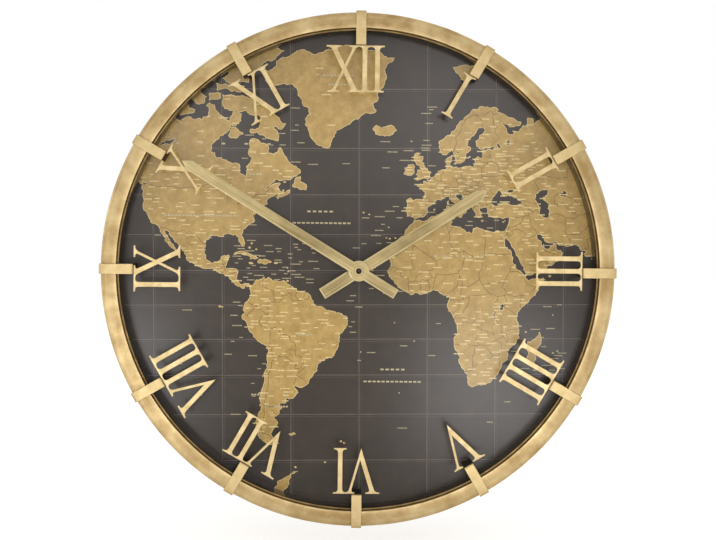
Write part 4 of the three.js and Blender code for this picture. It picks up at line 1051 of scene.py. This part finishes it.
BORDERS = rows("""
-123,49 -95.2,49 -93,48.6 -89.6,48 -84.5,46.5 -82.5,45.3 -82.4,43 -79,42.8 -76.5,44.2 -74.7,45 -71.5,45
-70.3,46 -69,47.4 -67.8,47 -67,45; -141,69.6 -141,60.3 -137.5,59 -135,59.5 -130,56 -130,55; -117.1,32.5
-114.7,32.7 -111,31.3 -108.2,31.3 -106.5,31.8 -104.5,29.6 -103,29 -101.4,29.8 -99.5,27.5 -97.2,25.9;
-92.2,14.6 -91.5,16.1 -90.4,16.1 -91,17.8 -89.2,17.8 -88.3,18.4; -89.2,17.8 -88.9,15.9 -88.3,15.7 -89.4,14.4
-90.1,13.7; -87.4,13 -85,14 -83.2,15; -85.7,11.1 -83.7,10.9; -92,46.8 -88.5,48.7 -86,48.7 -84.7,46.7
-87.5,46.6 -90.5,46.8 -92,46.8; -87.8,42 -87,45.5 -85.2,45.8 -86.3,43.5 -87,41.8; -83.3,41.7 -81,42 -79,42.8
-81,42.8 -83.3,41.7; -71.3,11.8 -72.5,10.5 -72.3,8 -70,7 -67.5,6.2 -67.3,3 -66.9,1.2; -66.9,1.2 -65,1
-64,2.3 -64,4.1 -62,4.2 -60.7,5.2 -61.4,6 -60,8.3; -60.7,5.2 -59.8,4.5 -59.5,1.8 -56.5,1.9 -54.5,2.3
-52.6,2.3 -51.7,4; -57.2,5.9 -58,4 -56.5,1.9; -54,5.8 -54.5,2.3; -66.9,1.2 -69.8,1.7 -69.9,-4.2 -73,-2.4
-75.2,-0.1 -77.5,0.4 -78.8,1.4; -75.2,-0.1 -75.6,-1.5 -78.3,-3.4 -79,-5 -80.3,-3.5; -69.9,-4.2 -73,-5
-73.9,-7.3 -72.8,-9.4 -70.6,-9.5 -70.6,-11 -69.5,-11 -68.8,-12.7 -69,-15.5 -69.5,-17.5 -70.3,-18.3;
-69.5,-11 -66.8,-9.8 -65.3,-10.8 -64.5,-12.4 -60.5,-13.8 -60.2,-16.2 -58.3,-16.3 -57.8,-18 -58.1,-20.1
-59.2,-19.3 -61.8,-19.6 -62.6,-22.2 -64.5,-22.5 -66.3,-21.8 -67.2,-22.8; -69.5,-17.5 -68.5,-19.5 -68.2,-21.5
-67.2,-22.8 -68.3,-24.5 -68.6,-27.2 -70,-30 -69.9,-33.3 -70.5,-36 -71.3,-39 -71.8,-42 -71.6,-45 -72.3,-48
-73.3,-50 -72.3,-51.7 -69,-52.2 -68.4,-52.4; -68.6,-52.7 -68.6,-54.9; -62.6,-22.2 -60,-24 -57.7,-25.3
-58.4,-27.3 -56,-27.3 -54.6,-25.6 -54.3,-24 -55.8,-22.3 -57.9,-22.1 -58.1,-20.1; -54.6,-25.6 -53.7,-26.8
-55.8,-28.3 -57.6,-30.2 -55.5,-31 -53.5,-32.5 -53.4,-33.7; -57.6,-30.2 -58.2,-32.5 -58.3,-34; -8.8,41.9
-6.6,41.9 -7,39.8 -7.2,38.5 -7.4,37.2; -1.8,43.3 0.7,42.7 3.1,42.4; 2.5,51.1 4,50 5.8,49.6 8.1,49 7.6,47.6
6,46.3 7,45.9 6.9,44.4 7.5,43.8; 7,53.3 7,52.2 6,51.8 6,50.8 6.1,49.5; 14.3,53.9 14.7,52 14.9,50.9 12.3,50.2
13.8,48.8 13,47.6 9.6,47.5 7.6,47.6; 7,45.9 9,46 10.5,46.6 12.2,47 13.7,46.5 13.6,45.7; 14.9,50.9 18.7,49.7
22.6,49.1 24,50.6 23.6,52 23.9,53.9 22.8,54.4 19.7,54.4; 13.8,48.8 17,48.7 17.1,48 18.8,47.8 22.2,48.4
22.9,47.9 20.3,46.1 18.8,45.9 16.5,46.5 17.1,48; 22.6,49.1 22.2,48.4; 22.9,47.9 26.6,48.2 28.2,45.5
29.7,45.2; 20.3,46.1 21.5,44.8 22.7,44.2 27,44.1 28.6,43.7; 22.7,44.2 22.4,42.3 22.9,41.3 26.3,41.7
26.1,40.8; 20,39.7 21,40.9 22.9,41.3; 26.3,41.7 28,42; 19.4,41.9 20.5,42.2 20.6,41 20,39.7; 13.6,45.5
15.5,45.8 16.5,46.5 18.8,45.9 19,44.9 15.8,45.2 17.6,42.9; 23.6,51.5 30.6,51.3 32,52.1 34.2,51.3 35.6,50.4
38,49.9 40,49.6 38.3,47.6 38.2,47.1; 32,52.1 31.5,53.2 31,55 28.2,56.1 26.6,55.7 22.9,56.4 21.1,56.1;
23.5,53.9 26.6,55.7; 28.2,56.1 27.4,57.5 27.5,59.3; 24.4,57.9 27.4,57.5; 28,60.6 31.5,62.9 29.6,64.9 29,66.9
28.5,68.5 29,69.1 30.9,69.6; 11.2,59 12.5,61 12.2,63 14,64.3 14.6,66 16.3,67.8 18.2,68.5 20.5,69.1 23.5,68.8
25.8,69.5 28,70 29,69.1; 20.5,69.1 23.6,67.9 24.1,65.8; 49,46.5 48,48 47,49.5 49,51 51.5,51.5 55,51 61.5,51
61,53.8 65,54.4 69,55.3 71.5,54.2 77,53; 40,43.4 44,42.6 46.5,41.8 48.5,41.8; 41.5,41.5 43.5,41.1 44.8,39.7
44.5,38 44.8,37.2 42.3,37.2 37,36.7 36.2,35.9; 44.8,39.7 46.5,38.9 48,39.7 48.9,38.4; 44.8,37.2 45.5,35.5
46,33 47.7,31.8 48.5,30; 48,30 46.5,29.1 44.7,29.2 42,31.1 39.2,32.1 37,31.5 38,30.5 36,29.2 35,29.4;
42.3,37.2 41,34.4 38.8,33.4 35.8,32.7; 39.2,32.1 38.8,33.4; 35.6,33.3 35.5,31.5 35,29.5; 34.3,31.3
34.9,29.5; 42.8,16.4 44,17.4 47,17 52,19 55,20 55.7,22 55.2,22.7 52.6,22.9 51.5,24.3; 52,19 53.1,16.7;
55.2,22.7 56.4,24.9; 53.9,37.3 57,38.2 61.2,36.6 60.6,34.3 61,31.5 60.9,29.8 63.2,27.2 61.7,25.2; 60.9,29.8
66.3,29.9 69.5,32 71.2,34.5 74.8,37; 68.2,23.7 71,24.5 70,27.8 73,29.8 74.5,31.2; 52.5,41.8 56,41.3 56,45
58.5,45.5 61,44.4 64.5,43.6 66,42 68,41 72,42.5; 56,41.3 60,42.2 62,40 66.5,37.4 64.5,36.3 61.2,36.6;
66.5,37.4 71,38; -2.2,35.1 -1.5,32.5 -5,30 -8.7,28.7 -8.7,27.3 -4.8,25 1.2,21.1 3.2,19.1 4.2,19.1 7.5,20.9
12,23.5 9.9,26.5 9.9,29.5 9.5,30.3 9,32 8.3,35 8.6,37; 9.5,30.3 10.3,32 11.5,33.1; 25,31.6 25,22 36.9,22;
12,23.5 14.2,22.6 15.9,23.4 24,19.5 25,20 25,22; 15.9,23.4 15.5,17 13.5,14.1; 24,19.5 24,15.7 22.5,13.5
23,11 24.2,8.7 27.4,5; -16.4,16.1 -14,16.6 -12.2,14.8 -11.5,15.4 -5.5,15.5 -6.5,25 -4.8,25; -13,27.7
-8.7,27.7 -8.7,26 -12,26 -12,23.4 -13,21.3 -17,21.3; 4.2,19.1 4,16.5 1,15 -0.8,15 -3,13.7 -5.3,11.5
-5.5,10.4 -2.8,9.7 -2.8,11 0.9,11 2.4,12 1,13.4 0.2,15; -12.2,14.8 -11.4,12.2 -8.5,12 -8,10.2 -5.5,10.4;
-8,10.2 -8.3,7.5 -7.5,4.4; -2.8,9.7 -3,5.1; 0,11 1.2,6.1; 2.7,6.4 2.8,9 3.6,11.7 4.1,13.5 7,13 10,13.3
13.5,13.7 14.2,12.5 13,8 11.5,6.6 8.6,4.8; 3.6,11.7 2.4,12; 14.2,12.5 15.5,10 15.3,7.5 14.5,5 16.2,2.2
13.2,2.2 9.8,2.3; 15.3,7.5 18.5,8 20.5,9.3 23,11; 27.4,5 22.5,4.1 18.6,4.3 18.6,3.5 17.7,-0.5 16.2,-2.2
15.2,-4.3 13,-4.6 12.2,-5.9; 18.6,3.5 16.2,2.2; 13.2,2.2 14.4,1.3 14,-1.5 11.1,-3.9; 12.3,-5.9 16.6,-5.9
17.5,-8.1 21.8,-7.3 21.9,-9.8 24,-11 24,-13 22,-13 22,-16.2 23.4,-17.6 18.5,-17.4 14,-17.4 11.8,-17.3;
23.4,-17.6 21,-18.3 21,-22 20,-22 20,-28.4 16.5,-28.6; 20,-25 20.8,-26.8 23,-25.3 25.6,-25.6 27,-23.6
29.4,-22.2 31.3,-22.4 32,-24.5 32,-26.8 32.9,-26.8; 23.4,-17.6 25.3,-17.8 27,-17.9 28.8,-16 30.4,-15.6
33,-16.7 32.7,-19.8 31.3,-22.4; 25.3,-17.8 27.7,-20.7 29.4,-22.2; 24,-11 26.9,-11.9 29.8,-13.4 28.6,-12
28.4,-9.2 30.8,-8.3 33,-9.6 33.3,-14 30.2,-15; 33,-14 34.3,-14.5 35.2,-17 35.5,-14.8 34.5,-11.5 40.4,-10.5;
34,-1 37.6,-3 39.2,-4.7; 34,-1 34,0.2 35,1.9 34,4.2 35.9,4.6 38,3.6 39.8,3.8 42,4.1 41,2.8 41,-1 41.5,-1.7;
29.6,-1.4 30,1 31,2.3 30.9,3.6 34,4.2; 29.6,-1.4 30.6,-1.1 30.6,-2.5 29.4,-4.4; 29.4,-4.4 30.8,-8.3; 42,4.1
45,5 48,8 44,9 42.8,10.6; 36.4,14.4 38.4,14.5 40.2,14.5 42.4,12.5; 38.6,18 37,17 36.4,14.4 35,12 34.1,10.6
33,8 35,5.5 34,4.2; 24.2,8.7 28,9.4 33,10 34.1,9.5; 27.4,5 29.5,4.4 30.9,3.6
""")
# Where large print stands on the map, drawn as rows of plain dashes: longitude, latitude, how many
# and their pitch in millimetres
LARGE_PRINT = [
    (-46.6, 38.9, 5, 6.6), (-46.1, 34.5, 13, 5.4), (-14.9, -27.8, 5, 6.2), (-15.1, -32.7, 13, 5.4),
    (-99.4, 37.4, 20, 4.3), (-38.7, 77.9, 9, 4.2), (-38.7, 76.0, 7, 3.6), (-85, 61.3, 5, 27.0),
    (-53.6, -13.0, 6, 3.0), (-66.0, -42.1, 8, 3.4), (-74.8, -37.6, 4, 3.4), (15.2, 21.0, 6, 11.0),
    (-75, 52, 4, 4.0), (60, 56, 5, 8.0),
]
# Where small print is scattered: west, east, south, north, how many rows, and whether on land
PRINT_FIELDS = [
    (-10, 42, 36, 60, 125, True), (42, 80, 12, 62, 85, True), (-17, 51, -34, 36, 130, True),
    (-125, -60, 24, 56, 85, True), (-118, -77, 7, 24, 26, True), (-81, -35, -54, 12, 95, True),
    (-55, -25, 64, 80, 5, True), (-125, -60, 56, 76, 26, True), (8, 70, 60, 70, 20, True),
    (-88, -48, 9, 28, 44, False), (-28, -10, 5, 42, 16, False), (-88, -70, -40, 8, 12, False),
    (-40, -30, -12, 5, 6, False), (38, 60, -30, 5, 16, False), (-20, 12, 50, 72, 14, False),
    (-6, 35, 31, 45, 10, False), (-82, -48, 55, 72, 12, False), (-130, 70, -55, 60, 26, False),
]


class Layer(IntEnum):
    """The layers of print, counted from the board."""

    GRID = 1
    LAND = 2
    LAKES = 3
    COASTS = 4
    BORDERS = 5
    DASHES = 6


def within(place: Vector, outline: list[Vector]) -> bool:
    """Tells whether a place lies inside a closed outline."""
    inside = False
    for here, before in zip(outline, outline[-1:] + outline[:-1]):
        if (here.y > place.y) != (before.y > place.y):
            share = (place.y - here.y) / (before.y - here.y)
            if place.x < here.x + share * (before.x - here.x):
                inside = not inside
    return inside


@dataclass
class WorldMap:
    """The printed map on the dial's board, as thin layers of print. Millimetres."""

    board_radius: float = 298.0
    board_front: float = 27.0
    board_thickness: float = 5.0
    board_hole: float = 5.2
    back_chamfer: float = 0.4
    front_chamfer: float = 0.2
    print_radius: float = 296.0
    print_sides: int = 60
    centre: Point = (82.8, -40.7)
    scale: float = 155.3
    tilt_degrees: float = 0.58
    layer_height: float = 0.02
    ragged_radius: float = 318.0
    coast_step: float = 2.2
    coast_wander: float = 0.2
    border_wander: float = 0.09
    coast_width: float = 0.75
    border_width: float = 0.55
    islet_corners: int = 7
    islet_flatness: float = 0.7
    islet_reach: Point = (0.7, 1.1)
    parallels: range = range(-60, 76, 15)
    meridians: range = range(-120, 61, 30)
    longitudes: range = range(-150, 91)
    latitudes: range = range(-72, 86)
    grid_width: float = 0.75
    faint_grid_width: float = 0.2
    faint_grid_gap: float = 2.6
    dash_share: float = 0.7
    large_height: float = 1.9
    large_dash: float = 4.0
    small_height: float = 1.35
    sea_height: float = 1.1
    small_pitch: float = 1.5
    small_dashes: tuple[int, int] = (3, 8)
    row_reach: float = 9.5
    row_gap: float = 2.5
    tries: int = 12
    turns: int = 180
    dice: random.Random = field(default_factory=lambda: random.Random(SEED))

    def flat(self, place: Point) -> Vector:
        """Returns where a place lies on the board, in millimetres, on Miller's projection."""
        east = math.radians(place[0])
        north = 1.25 * math.log(math.tan(math.pi / 4 + 0.4 * math.radians(place[1])))
        turn = math.radians(self.tilt_degrees)
        across = east * math.cos(turn) - north * math.sin(turn)
        up = east * math.sin(turn) + north * math.cos(turn)
        return Vector((self.centre[0] + self.scale * across, self.centre[1] + self.scale * up))

    def ragged(self, start: Vector, end: Vector, wander: float) -> list[Vector]:
        """Breaks a straight stretch into small steps that wander, and returns all but its end.

        Args:
            start: Where the stretch starts.
            end: Where it ends.
            wander: How far it strays at most, as a share of its length.

        Returns:
            The points of the stretch.
        """
        length = (end - start).length
        if length < self.coast_step or start.length > self.ragged_radius:
            return [start]
        side = Vector((start.y - end.y, end.x - start.x))
        middle = (start + end) / 2 + side * self.dice.uniform(-wander, wander)
        return self.ragged(start, middle, wander) + self.ragged(middle, end, wander)

    def ragged_run(self, outline: list[Point], wander: float) -> list[Vector]:
        """Turns a row of places into a ragged line on the board, and returns all but its end."""
        corners = [self.flat(place) for place in outline]
        stretches = zip(corners, corners[1:])
        return [step for here, after in stretches for step in self.ragged(here, after, wander)]

    def coast(self, outline: list[Point]) -> list[Vector]:
        """Turns a closed outline into a ragged coast on the board."""
        return self.ragged_run([*outline, outline[0]], self.coast_wander)

    def border(self, run: list[Point]) -> list[Vector]:
        """Turns a row of places into a ragged border on the board."""
        return [*self.ragged_run(run, self.border_wander), self.flat(run[-1])]

    def islet(self, place: Point, reach: float) -> list[Vector]:
        """Returns the uneven round outline of a small island."""
        middle = self.flat(place)
        angles = [math.tau * step / self.islet_corners for step in range(self.islet_corners)]
        return [
            middle
            + Vector((math.cos(at), self.islet_flatness * math.sin(at)))
            * reach
            * self.dice.uniform(*self.islet_reach)
            for at in angles
        ]

    def clipped(self, outline: list[Vector]) -> list[Vector]:
        """Cuts an outline off at the printed circle, one side of a many-sided figure at a time."""
        reach = self.print_radius * math.cos(math.pi / self.print_sides)
        for side in range(self.print_sides):
            angle = math.tau * side / self.print_sides
            away = Vector((math.cos(angle), math.sin(angle)))
            kept: list[Vector] = []
            for at, here in enumerate(outline):
                before = outline[at - 1]
                inside, was = here.dot(away) <= reach, before.dot(away) <= reach
                if inside != was:
                    share = (reach - before.dot(away)) / (here - before).dot(away)
                    kept.append(before + (here - before) * share)
                if inside:
                    kept.append(here)
            outline = kept
            if not outline:
                break
        return outline

    def raised(self, point: Vector, layer: Layer) -> Vector:
        """Returns a point of the board on a layer of print, in metres."""
        return Vector((point.x, -self.board_front - layer * self.layer_height, point.y)) * MM

    def forward(self, vertices: list[Vector], corners: list[int]) -> tuple[int, ...]:
        """Orders a face's corners so that it looks away from the wall."""
        a, b, c = (vertices[at] for at in corners[:3])
        return tuple(corners if (b - a).cross(c - a).y < 0 else reversed(corners))

    def sheet(self, name: str, outlines: list[list[Vector]], layer: Layer, finish: Finish) -> None:
        """Lays filled outlines on the board as one piece.

        Args:
            name: The piece's name.
            outlines: Closed outlines on the board.
            layer: The layer of print.
            finish: The print.
        """
        vertices: list[Vector] = []
        faces: list[tuple[int, ...]] = []
        for outline in map(self.clipped, outlines):
            if len(outline) < 3:
                continue
            first = len(vertices)
            vertices += [self.raised(point, layer) for point in outline]
            loop = [Vector((point.x, point.y, 0)) for point in outline]
            faces += [self.forward(vertices, [first + at for at in f]) for f in tessellate_polygon([loop])]
        settle(mesh_piece(name, vertices, faces, finish), "case")

    def stretches(self, run: list[Vector]) -> list[list[Vector]]:
        """Splits a line into the stretches that lie within the printed circle."""
        kept: list[list[Vector]] = [[]]
        for point in run:
            if point.length <= self.print_radius:
                kept[-1].append(point)
            elif kept[-1]:
                kept.append([])
        return [stretch for stretch in kept if len(stretch) > 1]

    def line(self, name: str, runs: list[list[Vector]], width: float, layer: Layer, finish: Finish) -> None:
        """Lays lines of one width on the board as one piece.

        Args:
            name: The piece's name.
            runs: The points of each line.
            width: How wide the lines are.
            layer: The layer of print.
            finish: The print.
        """
        vertices: list[Vector] = []
        faces: list[tuple[int, ...]] = []
        for run in [stretch for run in runs for stretch in self.stretches(run)]:
            first = len(vertices)
            for at, here in enumerate(run):
                along = run[min(at + 1, len(run) - 1)] - run[max(at - 1, 0)]
                away = Vector((-along.y, along.x)).normalized() * width / 2
                vertices += [self.raised(here + away, layer), self.raised(here - away, layer)]
            for a in range(first, len(vertices) - 2, 2):
                faces.append(self.forward(vertices, [a, a + 1, a + 3, a + 2]))
        settle(mesh_piece(name, vertices, faces, finish), "case")

    def board(self) -> None:
        """Makes the round board: print in front, bare fibreboard at its edge and back."""
        back = self.board_front - self.board_thickness
        section = [
            (self.board_hole, back),
            (self.board_radius - self.back_chamfer, back),
            (self.board_radius, back + self.back_chamfer),
            (self.board_radius, self.board_front - self.front_chamfer),
            (self.board_radius - self.front_chamfer, self.board_front),
            (self.board_hole, self.board_front),
        ]
        board = lathe("dial_board", section, SEA_PRINT, self.turns)
        board.data.materials.append(FIBREBOARD.material())
        for face in board.data.polygons:
            if -face.center.y / MM < self.board_front - self.front_chamfer / 4:
                face.material_index = 1
        settle(board, "case", "dial_panel")

    def grid(self) -> None:
        """Rules the lines of latitude and longitude, each with a faint second line beside it."""
        across = [[self.flat((lon, lat)) for lon in self.longitudes] for lat in self.parallels]
        upward = [[self.flat((lon, lat)) for lat in self.latitudes] for lon in self.meridians]
        self.line("map_grid", across + upward, self.grid_width, Layer.GRID, GRID_PRINT)
        aside = Vector((self.faint_grid_gap, 0))
        below = Vector((0, -self.faint_grid_gap))
        faint = [[point + below for point in run] for run in across]
        faint += [[point + aside for point in run] for run in upward]
        self.line("map_grid_faint", faint, self.faint_grid_width, Layer.GRID, GRID_PRINT)

    def dashes(self, middle: Vector, count: int, pitch: float, share: float) -> list[list[Vector]]:
        """Returns a row of dashes about a middle, each a share of the pitch long."""
        start = middle - Vector((count * pitch / 2, 0))
        lefts = [start + Vector((at * pitch, 0)) for at in range(count)]
        return [[left, left + Vector((pitch * share, 0))] for left in lefts]

    def large_print(self) -> None:
        """Draws the rows of dashes that stand for large print."""
        runs = []
        for lon, lat, count, pitch in LARGE_PRINT:
            share = min(self.dash_share, self.large_dash / pitch)
            runs += self.dashes(self.flat((lon, lat)), count, pitch, share)
        self.line("map_large_print", runs, self.large_height, Layer.DASHES, LARGE_MARK_PRINT)

    def small_print(self, coasts: list[list[Vector]]) -> None:
        """Scatters short rows of dashes that stand for small print.

        Args:
            coasts: The outlines of all land.
        """
        runs: dict[bool, list[list[Vector]]] = {True: [], False: []}
        used: list[Vector] = []
        for west, east, south, north, wanted, ashore in PRINT_FIELDS:
            for _ in range(wanted * self.tries):
                if wanted == 0:
                    break
                place = self.flat((self.dice.uniform(west, east), self.dice.uniform(south, north)))
                count = self.dice.randint(*self.small_dashes)
                if self.crowded(place, used) or any(within(place, one) for one in coasts) != ashore:
                    continue
                runs[ashore] += self.dashes(place, count, self.small_pitch, self.dash_share)
                used.append(place)
                wanted -= 1
        self.line("map_small_print", runs[True], self.small_height, Layer.DASHES, MARK_PRINT)
        self.line("map_sea_print", runs[False], self.sea_height, Layer.DASHES, LARGE_MARK_PRINT)

    def crowded(self, place: Vector, used: list[Vector]) -> bool:
        """Tells whether a row of small print would stand on another."""
        return any(
            abs(place.x - other.x) < self.row_reach and abs(place.y - other.y) < self.row_gap
            for other in used
        )

    def build(self) -> None:
        """Makes the board and all layers of print on it."""
        self.board()
        self.grid()
        outlines = [AMERICAS, EURASIA, AFRICA, GREENLAND, *ISLANDS]
        coasts = [self.coast(outline) for outline in outlines]
        coasts += [self.islet((lon, lat), reach) for lon, lat, reach in ISLETS]
        self.sheet("map_land", coasts, Layer.LAND, LAND_PRINT)
        shores = [self.coast(outline) for outline in LAKES]
        self.sheet("map_lakes", shores, Layer.LAKES, SEA_PRINT)
        loops = [[*outline, outline[0]] for outline in coasts + shores]
        self.line("map_coast", loops, self.coast_width, Layer.COASTS, COAST_PRINT)
        borders = [self.border(run) for run in BORDERS]
        self.line("map_borders", borders, self.border_width, Layer.BORDERS, BORDER_PRINT)
        self.large_print()
        self.small_print([[self.flat(place) for place in outline] for outline in outlines])


# Bushes, nut, movement and back


@dataclass
class HandBushes:
    """The turned bushes that grip the hands. Millimetres."""

    minute_bore: float = 1.9
    minute_hole: float = 3.15
    minute_radius: float = 4.45
    minute_flange: float = 5.65
    minute_back: float = 59.3
    minute_seat: float = 61.0
    flange_back: float = 63.3
    flange_front: float = 64.2
    chamfer: float = 0.25
    hour_rounding: float = 0.2

    def build(self, frame: dict) -> None:
        """Makes the minute hand's hollow bush and rounds the hour hand's."""
        cut = self.chamfer
        section = [
            (self.minute_bore, self.minute_back),
            (self.minute_radius, self.minute_back),
            (self.minute_radius, self.flange_back),
            (self.minute_flange, self.flange_back),
            (self.minute_flange, self.flange_front - cut),
            (self.minute_flange - cut, self.flange_front),
            (self.minute_hole + cut, self.flange_front),
            (self.minute_hole, self.flange_front - cut),
            (self.minute_hole, self.minute_seat),
            (self.minute_bore, self.minute_seat),
        ]
        bush = lathe("minute_bush_form", section, HAND_METAL)
        # The bush's hole gets painted shade
        darken(bush, INNER_PAINTED_SHADE, self.minute_hole + cut / 2, self.flange_front - cut)
        settle(bush, "minute", "minute_hand_bush")
        softened_node(frame, "hour_hand_bush", HAND_BEVEL, self.hour_rounding)


# Finish and edge rounding in millimetres of each CAD node that keeps its form
KEPT_FORMS = {
    "movement_case": (CASE_PLASTIC, 0.4),
    "movement_cover": (CASE_PLASTIC, 0.3),
    "setting_knob": (CASE_PLASTIC, 0.15),
    "hanger": (PLATED_STEEL, 0.25),
    "threaded_bush": (THREAD_BRASS, 0.15),
    "dial_washer": (THREAD_BRASS, 0.2),
    "fixing_nut": (THREAD_BRASS, 0.3),
    "rubber_gasket": (GASKET_RUBBER, 0.2),
    **{f"dial_clip_{number}": (PLATED_STEEL, 0.25) for number in range(1, 7)},
}
# Finish of the CAD nodes that show as they are, inside the movement
BARE_NODES = {
    BATTERY_SLEEVE: "battery",
    PLATED_STEEL: "negative_contact positive_contact stator quartz_crystal",
    COIL_WIRE: "coil",
    BOARD_GREEN: "circuit_board",
    CASE_PLASTIC: "minute_arbor",
    GEAR_PLASTIC: "centre_wheel hour_wheel motion_wheel third_wheel fourth_wheel rotor",
}


@dataclass
class Movement:
    """The battery movement, its fixings and the hardware on the clock's back."""

    kept: dict[str, tuple[Finish, float]] = field(default_factory=lambda: KEPT_FORMS)
    bare: dict[Finish, str] = field(default_factory=lambda: BARE_NODES)

    def build(self, frame: dict) -> None:
        """Rounds the forms that show and finishes the pieces inside."""
        for node, (finish, width) in self.kept.items():
            softened_node(frame, node, finish, width)
        for finish, nodes in self.bare.items():
            for node in nodes.split():
                materials = frame["nodes"][node].data.materials
                materials.clear()
                materials.append(finish.material())
                log.info("%s: finished in %s", node, finish.name)


# Studio and camera


def background_rays(tree: Tree) -> Socket:
    """Returns 1 for rays of the camera, of reflections and of glass, and 0 for all others."""
    path = add_node(tree, "LightPath").outputs
    rays = {0: path["Is Camera Ray"], 1: path["Is Glossy Ray"]}
    seen = add_node(tree, "Math", rays, operation="MAXIMUM").outputs[0]
    rays = {0: seen, 1: path["Is Transmission Ray"]}
    return add_node(tree, "Math", rays, operation="MAXIMUM").outputs[0]


@dataclass(frozen=True)
class Lamp:
    """A square lamp that looks at the clock. Metres and watts."""

    name: str
    place: Place
    size: float
    power: float

    def build(self) -> None:
        """Hangs the lamp."""
        data = bpy.data.lights.new(self.name, "AREA")
        data.size = self.size
        data.energy = self.power
        piece = placed(self.name, data)
        piece.location = self.place
        piece.rotation_euler = (-Vector(self.place)).to_track_quat("-Z", "Y").to_euler()


@dataclass
class Studio:
    """A plain pale floor, a white surround and large soft lamps. Metres."""

    floor_height: float = -0.335
    floor_reach: float = 8.0
    floor_colour: str = "#f4f4f2"
    floor_lift: float = 0.2
    surround_strength: float = 0.9
    lamps: tuple[Lamp, ...] = (
        Lamp("lamp_low_left", (-0.42, -0.8, -0.215), size=0.24, power=1.1),
        Lamp("lamp_low_right", (0.25, -0.78, -0.22), size=0.24, power=1.0),
        Lamp("lamp_side_left", (-2.0, -0.7, 0.2), size=1.0, power=5.0),
        Lamp("lamp_side_right", (2.0, -0.7, 0.2), size=1.0, power=2.5),
        Lamp("softbox_left", (-0.48, -3.25, 0.34), size=0.4, power=3.6),
        Lamp("softbox_right", (0.4, -3.25, 0.42), size=0.4, power=4.4),
        Lamp("lamp_behind", (0.8, 2.2, 1.6), size=1.6, power=14.0),
    )

    def floor(self) -> None:
        """Lays the floor: matt and pale, with the clock's shadow, lifted to white as a background."""
        reach = self.floor_reach
        mesh = bpy.data.meshes.new("studio_floor")
        corners = [(-reach, -reach), (reach, -reach), (reach, reach), (-reach, reach)]
        mesh.from_pydata([(x, y, self.floor_height) for x, y in corners], [], [(0, 1, 2, 3)])
        piece = placed("studio_floor", mesh)
        paint = bpy.data.materials.new("studio_floor_matt_white")
        paint.use_nodes = True
        tree = paint.node_tree
        tree.nodes.clear()
        rays = {0: background_rays(tree), 1: self.floor_lift}
        lift = add_node(tree, "Math", rays, operation="MULTIPLY")
        matt = add_node(tree, "BsdfDiffuse", {"Color": linear(self.floor_colour), "Roughness": 0.0})
        glow = add_node(tree, "Emission", {"Strength": lift.outputs[0]})
        both = add_node(tree, "AddShader", {0: matt.outputs[0], 1: glow.outputs[0]})
        add_node(tree, "OutputMaterial", {"Surface": both.outputs[0]})
        mesh.materials.append(paint)

    def surround(self) -> None:
        """Makes the world: white to the camera and in reflections, softer as light."""
        world = bpy.data.worlds.new("studio_surround")
        bpy.context.scene.world = world
        world.use_nodes = True
        tree = world.node_tree
        tree.nodes.clear()
        ends = {"To Min": self.surround_strength, "To Max": 1.0}
        strength = add_node(tree, "MapRange", {"Value": background_rays(tree), **ends})
        white = {"Color": linear("#ffffff"), "Strength": strength.outputs[0]}
        light = add_node(tree, "Background", white)
        add_node(tree, "OutputWorld", {"Surface": light.outputs[0]})

    def build(self) -> None:
        """Makes the floor, the surround and the lamps."""
        self.floor()
        self.surround()
        for lamp in self.lamps:
            lamp.build()
        bpy.context.scene.view_settings.view_transform = "Standard"


@dataclass
class Viewpoint:
    """The photograph's camera: a little left of the clock's middle and above it. Metres."""

    place: Place = (-0.03635, -1.641, 0.0618)
    target: Place = (-0.00095, -0.061, 0.0013)
    roll_degrees: float = 0.6
    focal_pixels: float = 1358.1
    image_width: float = 716.0
    sensor_width: float = 36.0

    def build(self) -> None:
        """Makes the camera and lets the scene use it."""
        data = bpy.data.cameras.new("viewpoint")
        data.sensor_width = self.sensor_width
        data.lens = self.focal_pixels / self.image_width * self.sensor_width
        camera = placed("viewpoint", data)
        away = (Vector(self.place) - Vector(self.target)).normalized()
        right = Vector((0, 0, 1)).cross(away).normalized()
        up = away.cross(right)
        roll = math.radians(self.roll_degrees)
        side = right * math.cos(roll) + up * math.sin(roll)
        top = up * math.cos(roll) - right * math.sin(roll)
        turn = Matrix((side, top, away)).transposed().to_4x4()
        camera.matrix_world = Matrix.Translation(self.place) @ turn
        bpy.context.scene.camera = camera


def main() -> None:
    """Builds the dressed clock and the studio round it."""
    logging.basicConfig(level=logging.INFO, format="%(name)s: %(message)s")
    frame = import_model()
    Rim().build()
    WorldMap().build()
    Straps().build()
    Numerals().build(frame)
    hour_hand = Hand(
        "hour_hand", "hour", clock_angle=57.4, width=13.8, reach=177.0, tail=50.5, point=11.0,
        back=57.0, hole_radius=6.0,
    )
    minute_hand = Hand(
        "minute_hand", "minute", clock_angle=301.5, width=12.2, reach=241.5, tail=51.0, point=10.0,
        back=61.5, hole_radius=4.75,
    )
    hour_hand.build()
    minute_hand.build()
    HandBushes().build(frame)
    Movement().build(frame)
    Studio().build()
    Viewpoint().build()
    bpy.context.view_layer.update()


if __name__ == "__main__":
    main()
